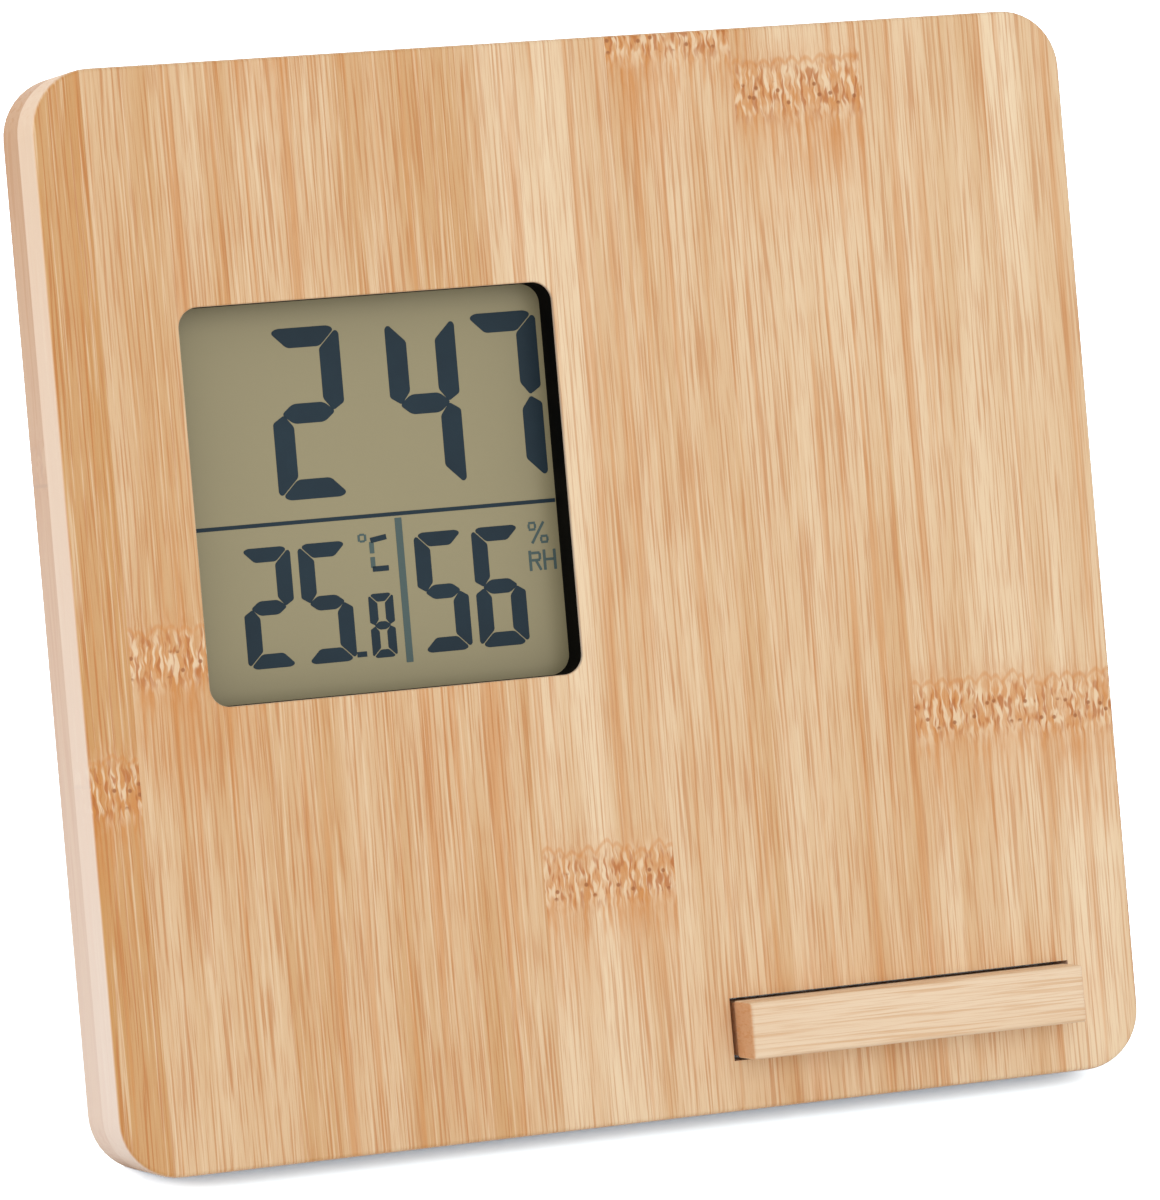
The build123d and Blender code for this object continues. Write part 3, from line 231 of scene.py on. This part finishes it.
def bamboo(name, turn, place, fibre, first_strip, strips, colours, edge_pale=0.0):
    """Bamboo with x across its strips, y through the board and z along the fibres, in mm.
    Each strip is (tone, place of its joint mark along the fibres or None)."""
    material, tree = start_material(name)
    object_spot = add_node(tree, "TexCoord")
    local = add_node(tree, "Mapping", {
        "Vector": object_spot.outputs["Object"], "Location": place, "Rotation": turn,
        "Scale": (1 / MM, 1 / MM, 1 / MM)})
    axes = add_node(tree, "SeparateXYZ", {0: local}).outputs

    # A stepped ramp tells the strips apart: red is a strip's seed, green its tone, blue its mark
    seed_step, first_seed, seed_shift = 0.37, 0.11, (71, 0, 37)
    from_first = add_node(tree, "Math", {0: axes[0], 1: first_strip}, operation="SUBTRACT")
    board_width = strip_width * len(strips)
    strip_share = add_node(tree, "Math", {0: from_first, 1: board_width}, operation="DIVIDE")
    strip_steps = add_node(tree, "ValToRGB", {0: strip_share})
    steps = strip_steps.color_ramp.elements
    strip_steps.color_ramp.interpolation = "CONSTANT"
    steps.remove(steps[1])
    for i, (tone, mark) in enumerate(strips):
        step = steps[0] if i == 0 else steps.new(i / len(strips))
        mark_step = 0 if mark is None else (mark - mark_start) / mark_range
        step.color = ((i * seed_step + first_seed) % 1, tone, mark_step, 1)
    strip = add_node(tree, "SeparateColor", {0: strip_steps}).outputs
    mark_place = add_node(tree, "Math", {
        0: strip[2], 1: mark_range, 2: mark_start}, operation="MULTIPLY_ADD")
    above_mark = add_node(tree, "Math", {0: axes[2], 1: mark_place}, operation="SUBTRACT")
    mark_share = add_node(tree, "MapRange", {0: above_mark, 1: mark_low, 2: mark_high})
    mark_ramp = add_node(tree, "ValToRGB", {0: mark_share})
    steps = mark_ramp.color_ramp.elements
    steps.remove(steps[1])
    for distance, parts in mark_parts:
        steps.new((distance - mark_low) / (mark_high - mark_low)).color = parts
    steps[0].color = mark_parts[0][1]
    marks = list(add_node(tree, "SeparateColor", {0: mark_ramp}).outputs)
    marks.append(mark_ramp.outputs["Alpha"])
    shift = add_node(tree, "VectorMath", {0: seed_shift, "Scale": strip[0]}, operation="SCALE")

    # The fibres wander a little along the board and curl round a joint mark
    def grain(spot, sizes, detail):
        """Noise whose grains have those sizes in mm, different in each strip."""
        place = add_node(tree, "VectorMath", {
            0: spot, 1: [1 / size for size in sizes], 2: shift}, operation="MULTIPLY_ADD")
        return add_node(tree, "TexNoise", {
            "Vector": place, "Scale": 1.0, "Detail": detail, "Roughness": 0.55})

    wander = add_node(tree, "MapRange", {
        0: grain(local, wander_wave, 1.0), 3: -wander_width, 4: wander_width})
    curl = add_node(tree, "MapRange", {
        0: grain(local, curl_wave, 0.0), 3: -curl_width, 4: curl_width})
    curl = add_node(tree, "Math", {0: curl, 1: marks[2], 2: wander}, operation="MULTIPLY_ADD")
    fibres = add_node(tree, "VectorMath", {
        0: local, 1: add_node(tree, "CombineXYZ", {0: curl})}, operation="ADD")

    tones = {key: srgb(value) for key, value in colours.items()}
    colour = add_node(tree, "Mix", {0: strip[1], 6: tones["pale"], 7: tones["tan"]}, data_type="RGBA")
    vigour = add_node(tree, "MapRange", {0: strip[1], 3: faint_fibres, 4: strong_fibres})
    threads = None
    for rib, (x, y, z, detail, low, high, amount, tint, part) in ribs.items():
        noise = grain(fibres, (x, y, z), detail)
        shown = add_node(tree, "MapRange", {0: noise, 1: low, 2: high, 4: amount},
                         interpolation_type="SMOOTHSTEP")
        threads = shown if rib == "threads" else threads
        kept = vigour if part is None else marks[part]
        shown = add_node(tree, "Math", {0: shown, 1: kept}, operation="MULTIPLY")
        colour = add_node(tree, "Mix", {
            0: shown, 6: colour.outputs[2], 7: tones[tint]}, data_type="RGBA")

    # The mark's scalloped ridge line and its pits, and the fine glue lines between the strips
    ridge_wave = add_node(tree, "MapRange", {
        0: grain(local, ridge_wave_size, 1.0), 3: -ridge_height, 4: ridge_height})
    scallop = add_node(tree, "Math", {
        0: axes[0], 1: scallop_turn, 2: ridge_wave}, operation="MULTIPLY_ADD")
    scallop = add_node(tree, "Math", {0: add_node(tree, "Math", {0: scallop}, operation="SINE")},
                       operation="ABSOLUTE")
    ridge_spot = add_node(tree, "Math", {0: above_mark, 1: scallop}, operation="SUBTRACT")
    ridge_spot = add_node(tree, "Math", {0: ridge_spot, 1: ridge_wave}, operation="ADD")
    ridge_spot = add_node(tree, "Math", {0: ridge_spot}, operation="ABSOLUTE")
    ridge = add_node(tree, "MapRange", {
        0: ridge_spot, 1: ridge_line[0], 2: ridge_line[1], 4: ridge_line[2]},
        interpolation_type="SMOOTHSTEP")
    pit_spot = add_node(tree, "CombineXYZ", {0: axes[0], 1: axes[2]})
    pit_spot = add_node(tree, "VectorMath", {
        0: pit_spot, 1: (1 / pit_pitch, 1 / pit_pitch, 0), 2: shift}, operation="MULTIPLY_ADD")
    pit_cells = add_node(tree, "TexVoronoi", {
        "Vector": pit_spot, "Scale": 1.0}, voronoi_dimensions="2D")
    pits = add_node(tree, "MapRange", {
        0: pit_cells, 1: pit_dot[0], 2: pit_dot[1], 4: pit_dot[2]}, interpolation_type="SMOOTHSTEP")
    pits = add_node(tree, "Math", {0: pits, 1: marks[3]}, operation="MULTIPLY")
    glue = add_node(tree, "Math", {0: from_first, 1: strip_width / 2}, operation="PINGPONG")
    glue = add_node(tree, "MapRange", {0: glue, 1: glue_line[0], 2: glue_line[1], 4: glue_line[2]})
    for shown, tint in ((ridge, "amber"), (pits, "pit"), (glue, "streak")):
        colour = add_node(tree, "Mix", {
            0: shown, 6: colour.outputs[2], 7: tones[tint]}, data_type="RGBA")

    # Sawn sides have a tone of their own, which changes up the board, and so have the ends, where
    # the fibres are cut across
    sides = add_node(tree, "VectorMath", {
        0: object_spot.outputs["Normal"], 1: tuple(inward)}, operation="DOT_PRODUCT")
    sides = add_node(tree, "Math", {0: sides.outputs["Value"]}, operation="ABSOLUTE")
    sides = add_node(tree, "MapRange", {0: sides, 1: side_start, 2: side_full, 4: edge_pale})
    height = add_node(tree, "MapRange", {0: axes[2], 1: cut_low, 2: cut_high})
    cut = add_node(tree, "Mix", {0: height, 6: tones["cut"], 7: tones["cut_top"]}, data_type="RGBA")
    colour = add_node(tree, "Mix", {
        0: sides, 6: colour.outputs[2], 7: cut.outputs[2]}, data_type="RGBA")
    ends = add_node(tree, "VectorMath", {
        0: object_spot.outputs["Normal"], 1: tuple(fibre)}, operation="DOT_PRODUCT")
    ends = add_node(tree, "Math", {0: ends.outputs["Value"]}, operation="ABSOLUTE")
    ends = add_node(tree, "MapRange", {0: ends, 1: end_start, 2: end_full, 4: end_share})
    colour = add_node(tree, "Mix", {0: ends, 6: colour.outputs[2], 7: tones["end"]}, data_type="RGBA")

    relief = add_node(tree, "Bump", {
        "Height": threads, "Strength": 0.5, "Distance": fibre_relief * MM}, invert=True)
    shine = add_node(tree, "MapRange", {0: threads, 3: lacquer_roughness, 4: fibre_roughness})
    surface = add_node(tree, "BsdfPrincipled", {
        "Base Color": colour.outputs[2], "Roughness": shine, "IOR": lacquer_ior, "Normal": relief})
    add_node(tree, "OutputMaterial", {0: surface})
    return material


def dress(material, slot, *names):
    """Gives CAD nodes their finish. Its slot argument is not used."""
    for name in names:
        node = nodes[name]
        node.data.materials.clear()
        node.data.materials.append(material)


def foot_place(turn, foot=face_foot):
    """Where a turned pattern's origin goes, so that it starts at a point of the part, in mm."""
    spun = foot.copy()
    spun.rotate(turn)
    return -spun / MM


# Front board. Flat-sawn bamboo, 10 mm thick, with a window and a slot cut through it. Its face
# shows nine strips, amber at the left and paler at the right.
panel_turn = Matrix.Rotation(lean, 3, "X").to_euler()
front_colours = {
    "pale": "F3D9B3", "tan": "CE9653", "streak": "C47C3B", "amber": "D2893F", "ridge": "BA6B26",
    "pit": "A05C22", "cut": "F1DFCF", "cut_top": "EACDAE", "end": "D3A67A"}
front_bamboo = bamboo(
    "bamboo_front", panel_turn, foot_place(panel_turn), upward, first_strip=-104.5,
    strips=[(0.84, 67.5), (0.41, 88), (0.42, 196), (0.48, None), (0.08, 45.3), (0.27, 184),
            (0.24, 173.3), (0.16, 67.2), (0.0, 66.2)],
    colours=front_colours, edge_pale=0.88)
dress(front_bamboo, "bamboo_front", "front_board")

# Rear board. The same stock glued behind the front board, cut out round the works, a little
# darker. Its sawn edge is browner than the front board's, partly its own tone and partly painted
# shade that marks the joint between the two boards.
# The browner cut tone is partly painted shade at the joint with the front board.
rear_colours = {
    "pale": "E9CBA0", "tan": "D5A46E", "streak": "B97440", "amber": "C68144", "ridge": "A4602F",
    "pit": "7E4416", "cut": "EAD5C4", "cut_top": "C5966A", "end": "BE8E62"}
rear_bamboo = bamboo(
    "bamboo_rear", panel_turn, foot_place(panel_turn), upward, first_strip=-96.5,
    strips=[(0.8, 120), (0.7, None), (0.75, None), (0.6, None), (0.7, None), (0.6, None),
            (0.7, None), (0.75, 140), (0.8, None)],
    colours=rear_colours, edge_pale=0.82)
dress(rear_bamboo, "bamboo_rear", "rear_board")


def finish(name, dark, light, grain, roughness, metallic=0.0, relief=0.0, stretch=(1, 1, 1),
           ior=1.5):
    """A made surface: two close tones in grains of that many mm, with some relief in mm."""
    grain_share, cast_share, cast_scale, tone_shift, shine_spread = 0.6, 0.5, 0.07, -0.05, 0.06
    material, tree = start_material(name)
    local = add_node(tree, "Mapping", {
        "Vector": add_node(tree, "TexCoord").outputs["Object"], "Rotation": panel_turn,
        "Scale": [s / (grain * MM) for s in stretch]})
    grains = add_node(tree, "TexNoise", {
        "Vector": local, "Scale": 1.0, "Detail": 3.0, "Roughness": 0.6})
    cast = add_node(tree, "TexNoise", {"Vector": local, "Scale": cast_scale, "Detail": 1.0})
    both = add_node(tree, "Math", {0: grains, 1: grain_share, 2: tone_shift}, operation="MULTIPLY_ADD")
    both = add_node(tree, "Math", {0: cast, 1: cast_share, 2: both}, operation="MULTIPLY_ADD")
    tone = add_node(tree, "Mix", {0: both, 6: srgb(dark), 7: srgb(light)}, data_type="RGBA")
    shine = add_node(tree, "MapRange", {
        0: grains, 3: roughness - shine_spread, 4: roughness + shine_spread})
    bump = add_node(tree, "Bump", {
        "Height": grains, "Strength": 1.0 if relief else 0.0, "Distance": relief * MM})
    surface = add_node(tree, "BsdfPrincipled", {
        "Base Color": tone.outputs[2], "Roughness": shine, "Metallic": metallic, "IOR": ior,
        "Normal": bump})
    add_node(tree, "OutputMaterial", {0: surface})
    return material


# Display bezel. Injection-moulded black ABS that lines the window behind a lip of the bamboo,
# matt so that it reads as a dark wall beside the display.
black_liner = finish("black_liner", "010102", "040405", 0.4, 0.7, relief=0.01, ior=1.15)
dress(black_liner, "liner", "display_bezel")

# Display. A stack of film and float glass in a white moulded tray: the front film is grey-green
# and satin, the glass clear and faintly green, the back film brushed foil.
dress(finish("display_film", "978D6C", "A09672", 26, 0.36, ior=1.35), "polariser", "lcd_polariser")

glass_finish, tree = start_material("float_glass")
ripple = add_node(tree, "TexNoise", {
    "Vector": add_node(tree, "TexCoord").outputs["Object"], "Scale": 60.0, "Detail": 1.0})
glass_tint = add_node(tree, "Mix", {0: ripple, 6: srgb("DCE9E2"), 7: srgb("E6F0EB")}, data_type="RGBA")
glass = add_node(tree, "BsdfPrincipled", {
    "Base Color": glass_tint.outputs[2], "Roughness": 0.03, "IOR": 1.52, "Transmission Weight": 1.0})
add_node(tree, "OutputMaterial", {0: glass})
dress(glass_finish, "display_glass", "lcd_front_glass", "lcd_rear_glass")
foil = finish("reflector_foil", "B4B4AE", "CFCFC8", 0.5, 0.3, 1.0, 0.005, (1, 1, 0.05))
dress(foil, "reflector", "lcd_reflector")
white_abs = finish("white_abs", "D2D2CE", "DEDEDA", 0.6, 0.5, relief=0.01)
dress(white_abs, "white_moulding", "lcd_frame", "switch_bodies")

# Liquid-crystal figures. Dark segments in the cell behind the film, drawn here as plates a few
# hundredths of a millimetre proud of it. They show a time, a temperature and a humidity.
segment_proud = 0.04
segment_round_share = 0.18
stroke_rounding = 0.08
mitre_gap = 0.11
# Liquid crystal is matt and dark; its weaker strokes let some of the film's colour through.
segment_finish = finish("dark_liquid_crystal", "14222D", "2B3F4A", 9, 0.5, ior=1.25)
pale_finish = finish("pale_liquid_crystal", "4C5E5C", "586A67", 9, 0.5, ior=1.25)
figures = {"2": "abged", "4": "fgbc", "5": "afgcd", "6": "afgecd", "7": "abc", "8": "abcdefg"}


def segment_outlines(width, height, upright, level):
    """Outlines of a figure's seven segments, with uprights and levels of those strokes."""
    gap, mid, half_level = mitre_gap, height / 2, level / 2
    # The figure's corner is cut off, and the gap between top and side starts in that cut
    chop, drop = 0.48 * upright, 0.34 * upright
    top_share, side_share = (chop - gap) / (chop + drop), (chop + gap) / (chop + drop)
    top_left = [
        (level + gap, height - level), (chop * (1 - top_share), height - drop * top_share),
        (chop, height)]
    top = top_left + [(width - x, y) for x, y in reversed(top_left)]
    # A side tapers to a blunt tip at mid height, and the bar's pointed ends fit between the tips
    shoulder, tip, heel, bar_tip = 0.12 * upright, 0.55 * upright, 0.38 * upright, 0.45 * upright
    tip_gap, bar_gap = 0.8 * gap, 0.4 * gap
    side = [
        (chop * (1 - side_share), height - drop * side_share), (upright, height - upright - gap),
        (upright, mid + half_level + gap + shoulder), (tip, mid + tip_gap), (0, mid + heel),
        (0, height - drop)]
    bar_left = [
        (upright + bar_gap, mid - half_level), (bar_tip, mid), (upright + bar_gap, mid + half_level)]
    bar = bar_left + [(width - x, y) for x, y in reversed(bar_left)]
    return {
        "a": top, "b": [(width - x, y) for x, y in side],
        "c": [(width - x, height - y) for x, y in side], "d": [(x, height - y) for x, y in top],
        "e": [(x, height - y) for x, y in side], "f": side, "g": bar}


def add_outline(shape, corners, rounding):
    """Adds a flat outline with those (u, v) corners, rounded, on the display film."""
    corners = [shape.verts.new(on_panel(u, v, film_depth / MM)) for u, v in corners]
    shape.faces.new(corners)
    bmesh.ops.bevel(shape, geom=corners, offset=rounding * MM, affect="VERTICES", segments=4,
                    profile=0.5, material=-1, clamp_overlap=True)


def add_figure(shape, figure, left, bottom, width, height, upright, level):
    """Adds the lit segments of one figure whose lower left corner is at (left, bottom)."""
    outlines = segment_outlines(width, height, upright, level)
    for segment in figures[figure]:
        corners = [(left + x, bottom + y) for x, y in outlines[segment]]
        add_outline(shape, corners, segment_round_share * upright)


def add_stroke(shape, start, end, width):
    """Adds a straight stroke from one (u, v) point to another."""
    run = Vector((end[0] - start[0], end[1] - start[1])).normalized() * width / 2
    side = Vector((-run.y, run.x))
    ends = ((start, -run + side), (start, -run - side), (end, run - side), (end, run + side))
    add_outline(shape, [(spot[0] + step.x, spot[1] + step.y) for spot, step in ends],
                stroke_rounding)


def display_piece(name, shape, material):
    """Gives the outlines their thickness and fixes them to the housing."""
    raised = bmesh.ops.extrude_face_region(shape, geom=shape.faces[:], use_keep_orig=True)["geom"]
    lifted = [part for part in raised if isinstance(part, bmesh.types.BMVert)]
    bmesh.ops.translate(shape, verts=lifted, vec=-inward * segment_proud * MM)
    bmesh.ops.recalc_face_normals(shape, faces=shape.faces)
    mesh = bpy.data.meshes.new(name)
    shape.to_mesh(mesh)
    shape.free()
    mesh.materials.append(material)
    piece = bpy.data.objects.new(name, mesh)
    scene.collection.objects.link(piece)
    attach(piece, "housing")


# Each reading's figures, as (figure, left, bottom, width, height, upright stroke, level stroke)
time_figures = [
    ("2", -51.97, 107.7, 12.5, 28.2, 3.55, 3.3), ("4", -31.52, 107.7, 12.1, 28.2, 3.55, 3.3),
    ("7", -17.57, 107.7, 12.4, 28.2, 3.55, 3.3)]
temperature_figures = [
    ("2", -59.67, 80.6, 8.7, 19.8, 2.7, 2.4), ("5", -49.67, 80.6, 8.7, 19.8, 2.7, 2.4),
    ("8", -38.27, 80.65, 4.3, 10.6, 1.5, 1.35)]
humidity_figures = [
    ("5", -29.57, 80.7, 8.7, 19.9, 2.7, 2.4), ("6", -19.57, 80.7, 8.7, 19.9, 2.7, 2.4)]
decimal_point = ((-40.5, 81.5), (-39.7, 81.5), 0.9)
for name, rows, points in (
        ("lcd_time_figures", time_figures, []),
        ("lcd_temperature_figures", temperature_figures, [decimal_point]),
        ("lcd_humidity_figures", humidity_figures, [])):
    reading_shape = bmesh.new()
    for row in rows:
        add_figure(reading_shape, *row)
    for point in points:
        add_stroke(reading_shape, *point)
    display_piece(name, reading_shape, segment_finish)

# Unit marks, in thin strokes of (start, end, width). The degree mark's letter has two dark levels;
# its uprights, its ring and the humidity's percent sign and letters are fainter.
degree_levels = [((-36.6, 100.1), (-34.7, 100.4), 0.9), ((-36.6, 95.3), (-34.7, 95.3), 0.9)]
degree_ring = [
    ((-39.0, 100.2), (-39.0, 100.9), 0.4), ((-37.9, 100.2), (-37.9, 100.9), 0.4),
    ((-38.7, 101.1), (-38.2, 101.1), 0.35), ((-38.7, 100.0), (-38.2, 100.0), 0.35)]
degree_uprights = [((-36.9, 99.4), (-36.9, 98.3), 0.8), ((-36.9, 96.9), (-36.9, 95.9), 0.8)]
percent_rings = [
    ((-9.25, 100.6), (-8.45, 100.6), 0.4), ((-9.25, 99.5), (-8.45, 99.5), 0.4),
    ((-9.4, 100.2), (-9.4, 99.9), 0.4), ((-8.3, 100.2), (-8.3, 99.9), 0.4),
    ((-7.25, 98.3), (-6.45, 98.3), 0.4), ((-7.25, 97.3), (-6.45, 97.3), 0.4),
    ((-7.4, 97.95), (-7.4, 97.65), 0.4), ((-6.3, 97.95), (-6.3, 97.65), 0.4)]
percent_slash = [((-8.9, 97.4), (-6.9, 100.5), 0.45)]
letter_r = [
    ((-9.6, 92.9), (-9.6, 95.8), 0.5), ((-9.1, 95.6), (-8.1, 95.6), 0.45),
    ((-9.1, 94.4), (-8.1, 94.4), 0.45), ((-7.9, 95.3), (-7.9, 94.7), 0.45),
    ((-8.5, 94.1), (-7.9, 92.9), 0.45)]
letter_h = [
    ((-7.1, 92.9), (-7.1, 95.8), 0.5), ((-5.3, 92.9), (-5.3, 95.8), 0.5),
    ((-6.7, 94.4), (-5.7, 94.4), 0.45)]
# Lines that divide the time from what is under it, and the temperature from the humidity
level_line = [((-68.2, 104.07), (-4.7, 104.07), 0.65)]
upright_line = [((-31.97, 80.1), (-31.97, 102.8), 1.2)]
for name, strokes, material in (
        ("lcd_degree_mark", degree_levels, segment_finish),
        ("lcd_degree_faint_strokes", degree_ring + degree_uprights, pale_finish),
        ("lcd_humidity_mark", percent_rings + percent_slash + letter_r + letter_h, pale_finish),
        ("lcd_level_divider", level_line, segment_finish),
        ("lcd_upright_divider", upright_line, pale_finish)):
    stroke_shape = bmesh.new()
    for stroke in strokes:
        add_stroke(stroke_shape, *stroke)
    display_piece(name, stroke_shape, material)

# Display tray's strips. Zebra strips are silicone with carbon layers 0.2 mm apart, drawn a little
# coarser, so they show fine dark and grey lines.
zebra = finish("zebra_silicone", "101012", "3A3A3D", 0.3, 0.6, stretch=(1, 0.02, 0.02))
dress(zebra, "zebra", "zebra_strips")

# Circuit boards. Glass-epoxy under green solder mask, with copper tracks showing as paler lines
# that run in straight steps.
track_length, track_pitch, track_gap = 5.2, 1.6, 0.16
mask_finish, tree = start_material("green_solder_mask")
board_spot = add_node(tree, "Mapping", {
    "Vector": add_node(tree, "TexCoord").outputs["Object"], "Rotation": panel_turn,
    "Scale": (1 / MM, 1 / MM, 1 / MM)})
board_axes = add_node(tree, "SeparateXYZ", {0: board_spot}).outputs
tracks = add_node(tree, "TexBrick", {
    "Vector": add_node(tree, "CombineXYZ", {0: board_axes[0], 1: board_axes[2]}),
    "Color1": (0, 0, 0, 1), "Color2": (0.25, 0.25, 0.25, 1), "Mortar": (1, 1, 1, 1), "Scale": 1.0,
    "Mortar Size": track_gap, "Brick Width": track_length, "Row Height": track_pitch})
mask_tone = add_node(tree, "Mix", {0: tracks, 6: srgb("1B5138"), 7: srgb("3F8059")}, data_type="RGBA")
mask_bump = add_node(tree, "Bump", {"Height": tracks, "Strength": 0.5, "Distance": 0.04 * MM})
mask = add_node(tree, "BsdfPrincipled", {
    "Base Color": mask_tone.outputs[2], "Roughness": 0.28, "Normal": mask_bump})
add_node(tree, "OutputMaterial", {0: mask})
dress(mask_finish, "circuit_board", "main_board", "charger_board")

# Parts on the boards. Chips and buzzer are black moulded epoxy, the crystal is a drawn steel can,
# and the climate sensor a white vented package.
epoxy = finish("moulded_epoxy", "17171A", "222226", 0.25, 0.6, relief=0.02)
dress(epoxy, "chip_black", "clock_chip", "charger_chips", "buzzer",
      "plunger_mode", "plunger_set", "plunger_up", "plunger_down")
dress(white_abs, "white_moulding", "climate_sensor")
steel = finish("plated_steel", "8F9092", "B5B6B8", 0.5, 0.28, 1.0, 0.004, (1, 1, 0.2))
dress(steel, "steel", "quartz_crystal", "board_screws", "cover_screws", "ledge_screws",
      "ledge_flange", "hinge_pin", "usb_inlet")

# Charging coil and ferrite. Litz wire laid in a flat spiral, seen as fine rings of enamelled
# copper, on a dark brittle sheet.
wire_pitch = 0.9
coil_low, coil_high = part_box("charging_coil")
coil_middle = (coil_low + coil_high) / 2
coil_finish, tree = start_material("enamelled_copper")
coil_spot = add_node(tree, "Mapping", {
    "Vector": add_node(tree, "TexCoord").outputs["Object"], "Rotation": panel_turn,
    "Location": foot_place(panel_turn, coil_middle), "Scale": (1 / MM, 1 / MM, 1 / MM)})
coil_axes = add_node(tree, "SeparateXYZ", {0: coil_spot}).outputs
coil_flat = add_node(tree, "CombineXYZ", {0: coil_axes[0], 1: coil_axes[2]})
radius = add_node(tree, "VectorMath", {0: coil_flat}, operation="LENGTH").outputs["Value"]
turns = add_node(tree, "Math", {0: radius, 1: wire_pitch / 2}, operation="PINGPONG")
turns = add_node(tree, "MapRange", {0: turns, 2: wire_pitch / 2}, interpolation_type="SMOOTHSTEP")
coil_tone = add_node(tree, "Mix", {0: turns, 6: srgb("6B3318"), 7: srgb("C8763F")}, data_type="RGBA")
coil_bump = add_node(tree, "Bump", {"Height": turns, "Strength": 1.0, "Distance": 0.4 * MM})
coil = add_node(tree, "BsdfPrincipled", {
    "Base Color": coil_tone.outputs[2], "Metallic": 0.8, "Roughness": 0.3, "Normal": coil_bump})
add_node(tree, "OutputMaterial", {0: coil})
dress(coil_finish, "copper", "charging_coil")
ferrite = finish("sintered_ferrite", "26262A", "36363B", 0.8, 0.65, relief=0.02)
dress(ferrite, "ferrite", "ferrite_sheet")

# Rear cover. One injection moulding in black ABS with a spark-eroded grain, drawn a little coarser
# than it is, holding the battery bay and the ears of the hinge. The door is the same stock.
black_abs = finish("grained_abs", "151517", "29292D", 0.9, 0.5, relief=0.07)
dress(black_abs, "rear_moulding", "rear_cover", "battery_door")

# Buttons. Satin dark grey caps of the same plastic.
dress(finish("satin_abs", "34343A", "45454B", 0.8, 0.4, relief=0.006), "button_rubber",
      "button_mode", "button_set", "button_up", "button_down")

# Cells. Steel cans in a plain printed jacket that stops short of both ends. Tin-plated bronze
# leaves press on them.
jacket_short = 1.2 * MM
cell_low, cell_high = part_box("battery_upper")
cell_finish, tree = start_material("printed_cell_jacket")
cell_spot = add_node(tree, "TexCoord").outputs["Object"]
cell_axes = add_node(tree, "SeparateXYZ", {0: cell_spot}).outputs
cell_middle = (cell_low.x + cell_high.x) / 2
off_middle = add_node(tree, "Math", {0: cell_axes[0], 1: cell_middle}, operation="SUBTRACT")
off_middle = add_node(tree, "Math", {0: off_middle}, operation="ABSOLUTE")
bare_end = add_node(tree, "Math", {
    0: off_middle, 1: (cell_high.x - cell_low.x) / 2 - jacket_short}, operation="GREATER_THAN")
scuffs = add_node(tree, "TexNoise", {"Vector": cell_spot, "Scale": 900.0, "Detail": 3.0})
jacket_tone = add_node(tree, "Mix", {0: scuffs, 6: srgb("39424B"), 7: srgb("4A5661")}, data_type="RGBA")
can_tone = add_node(tree, "Mix", {
    0: bare_end, 6: jacket_tone.outputs[2], 7: srgb("B9BABC")}, data_type="RGBA")
cell = add_node(tree, "BsdfPrincipled", {
    "Base Color": can_tone.outputs[2], "Metallic": bare_end, "Roughness": 0.3})
add_node(tree, "OutputMaterial", {0: cell})
dress(cell_finish, "cell_jacket", "battery_upper", "battery_lower")
bronze = finish("phosphor_bronze", "A98255", "C59C68", 0.6, 0.3, 1.0, 0.004, (0.1, 1, 1))
dress(bronze, "spring_bronze", "battery_positive", "battery_negative", "battery_link", "ledge_spring")

# Ledge. A small bamboo bar with its grain along the bar, paler than the panel, sanded smooth and
# with rubbed edges.
ledge_turn = (Matrix.Rotation(radians(-90), 3, "Y") @ Matrix.Rotation(lean, 3, "X")).to_euler()
ledge_bamboo = bamboo(
    "bamboo_ledge", ledge_turn, foot_place(ledge_turn), across, first_strip=-45.0,
    strips=[(0.10, None), (0.22, None), (0.15, None), (0.2, None)],
    colours={**front_colours, "pale": "F3DABA", "tan": "E8C7A0", "streak": "D8A877",
             "amber": "DEB283", "cut": "F3DCBC", "cut_top": "F3DCBC", "end": "EAA266"})
dress(ledge_bamboo, "bamboo_ledge", "ledge_bar")

# Leg. A bamboo slat with its grain along the leg, turning on a steel pin between nylon washers,
# with a rubber strip glued under its foot.
leg_lean = radians(-8)
hinge_joint = next(j for j in frame["joints"] if j["name"] == "leg_hinge")
leg_turn = Matrix.Rotation(leg_lean, 3, "X").to_euler()
leg_along = Vector((0, sin(leg_lean), cos(leg_lean)))
leg_bamboo = bamboo(
    "bamboo_leg", leg_turn, foot_place(leg_turn, Vector(hinge_joint["pos_m"])), leg_along,
    first_strip=-33.75, strips=[(0.7, None), (0.55, None), (0.75, None)],
    colours={**rear_colours, "cut": "E9D8C7", "cut_top": "DDC0A0", "end": "B98354"}, edge_pale=0.5)
dress(leg_bamboo, "bamboo_rear", "leg")
rubber = finish("moulded_rubber", "141415", "1F1F21", 0.4, 0.75, relief=0.03)
dress(rubber, "foot_rubber", "leg_foot_pad")
nylon = finish("natural_nylon", "D6D4C8", "E2E0D6", 0.5, 0.45, relief=0.01)
dress(nylon, "nylon", "leg_washers")
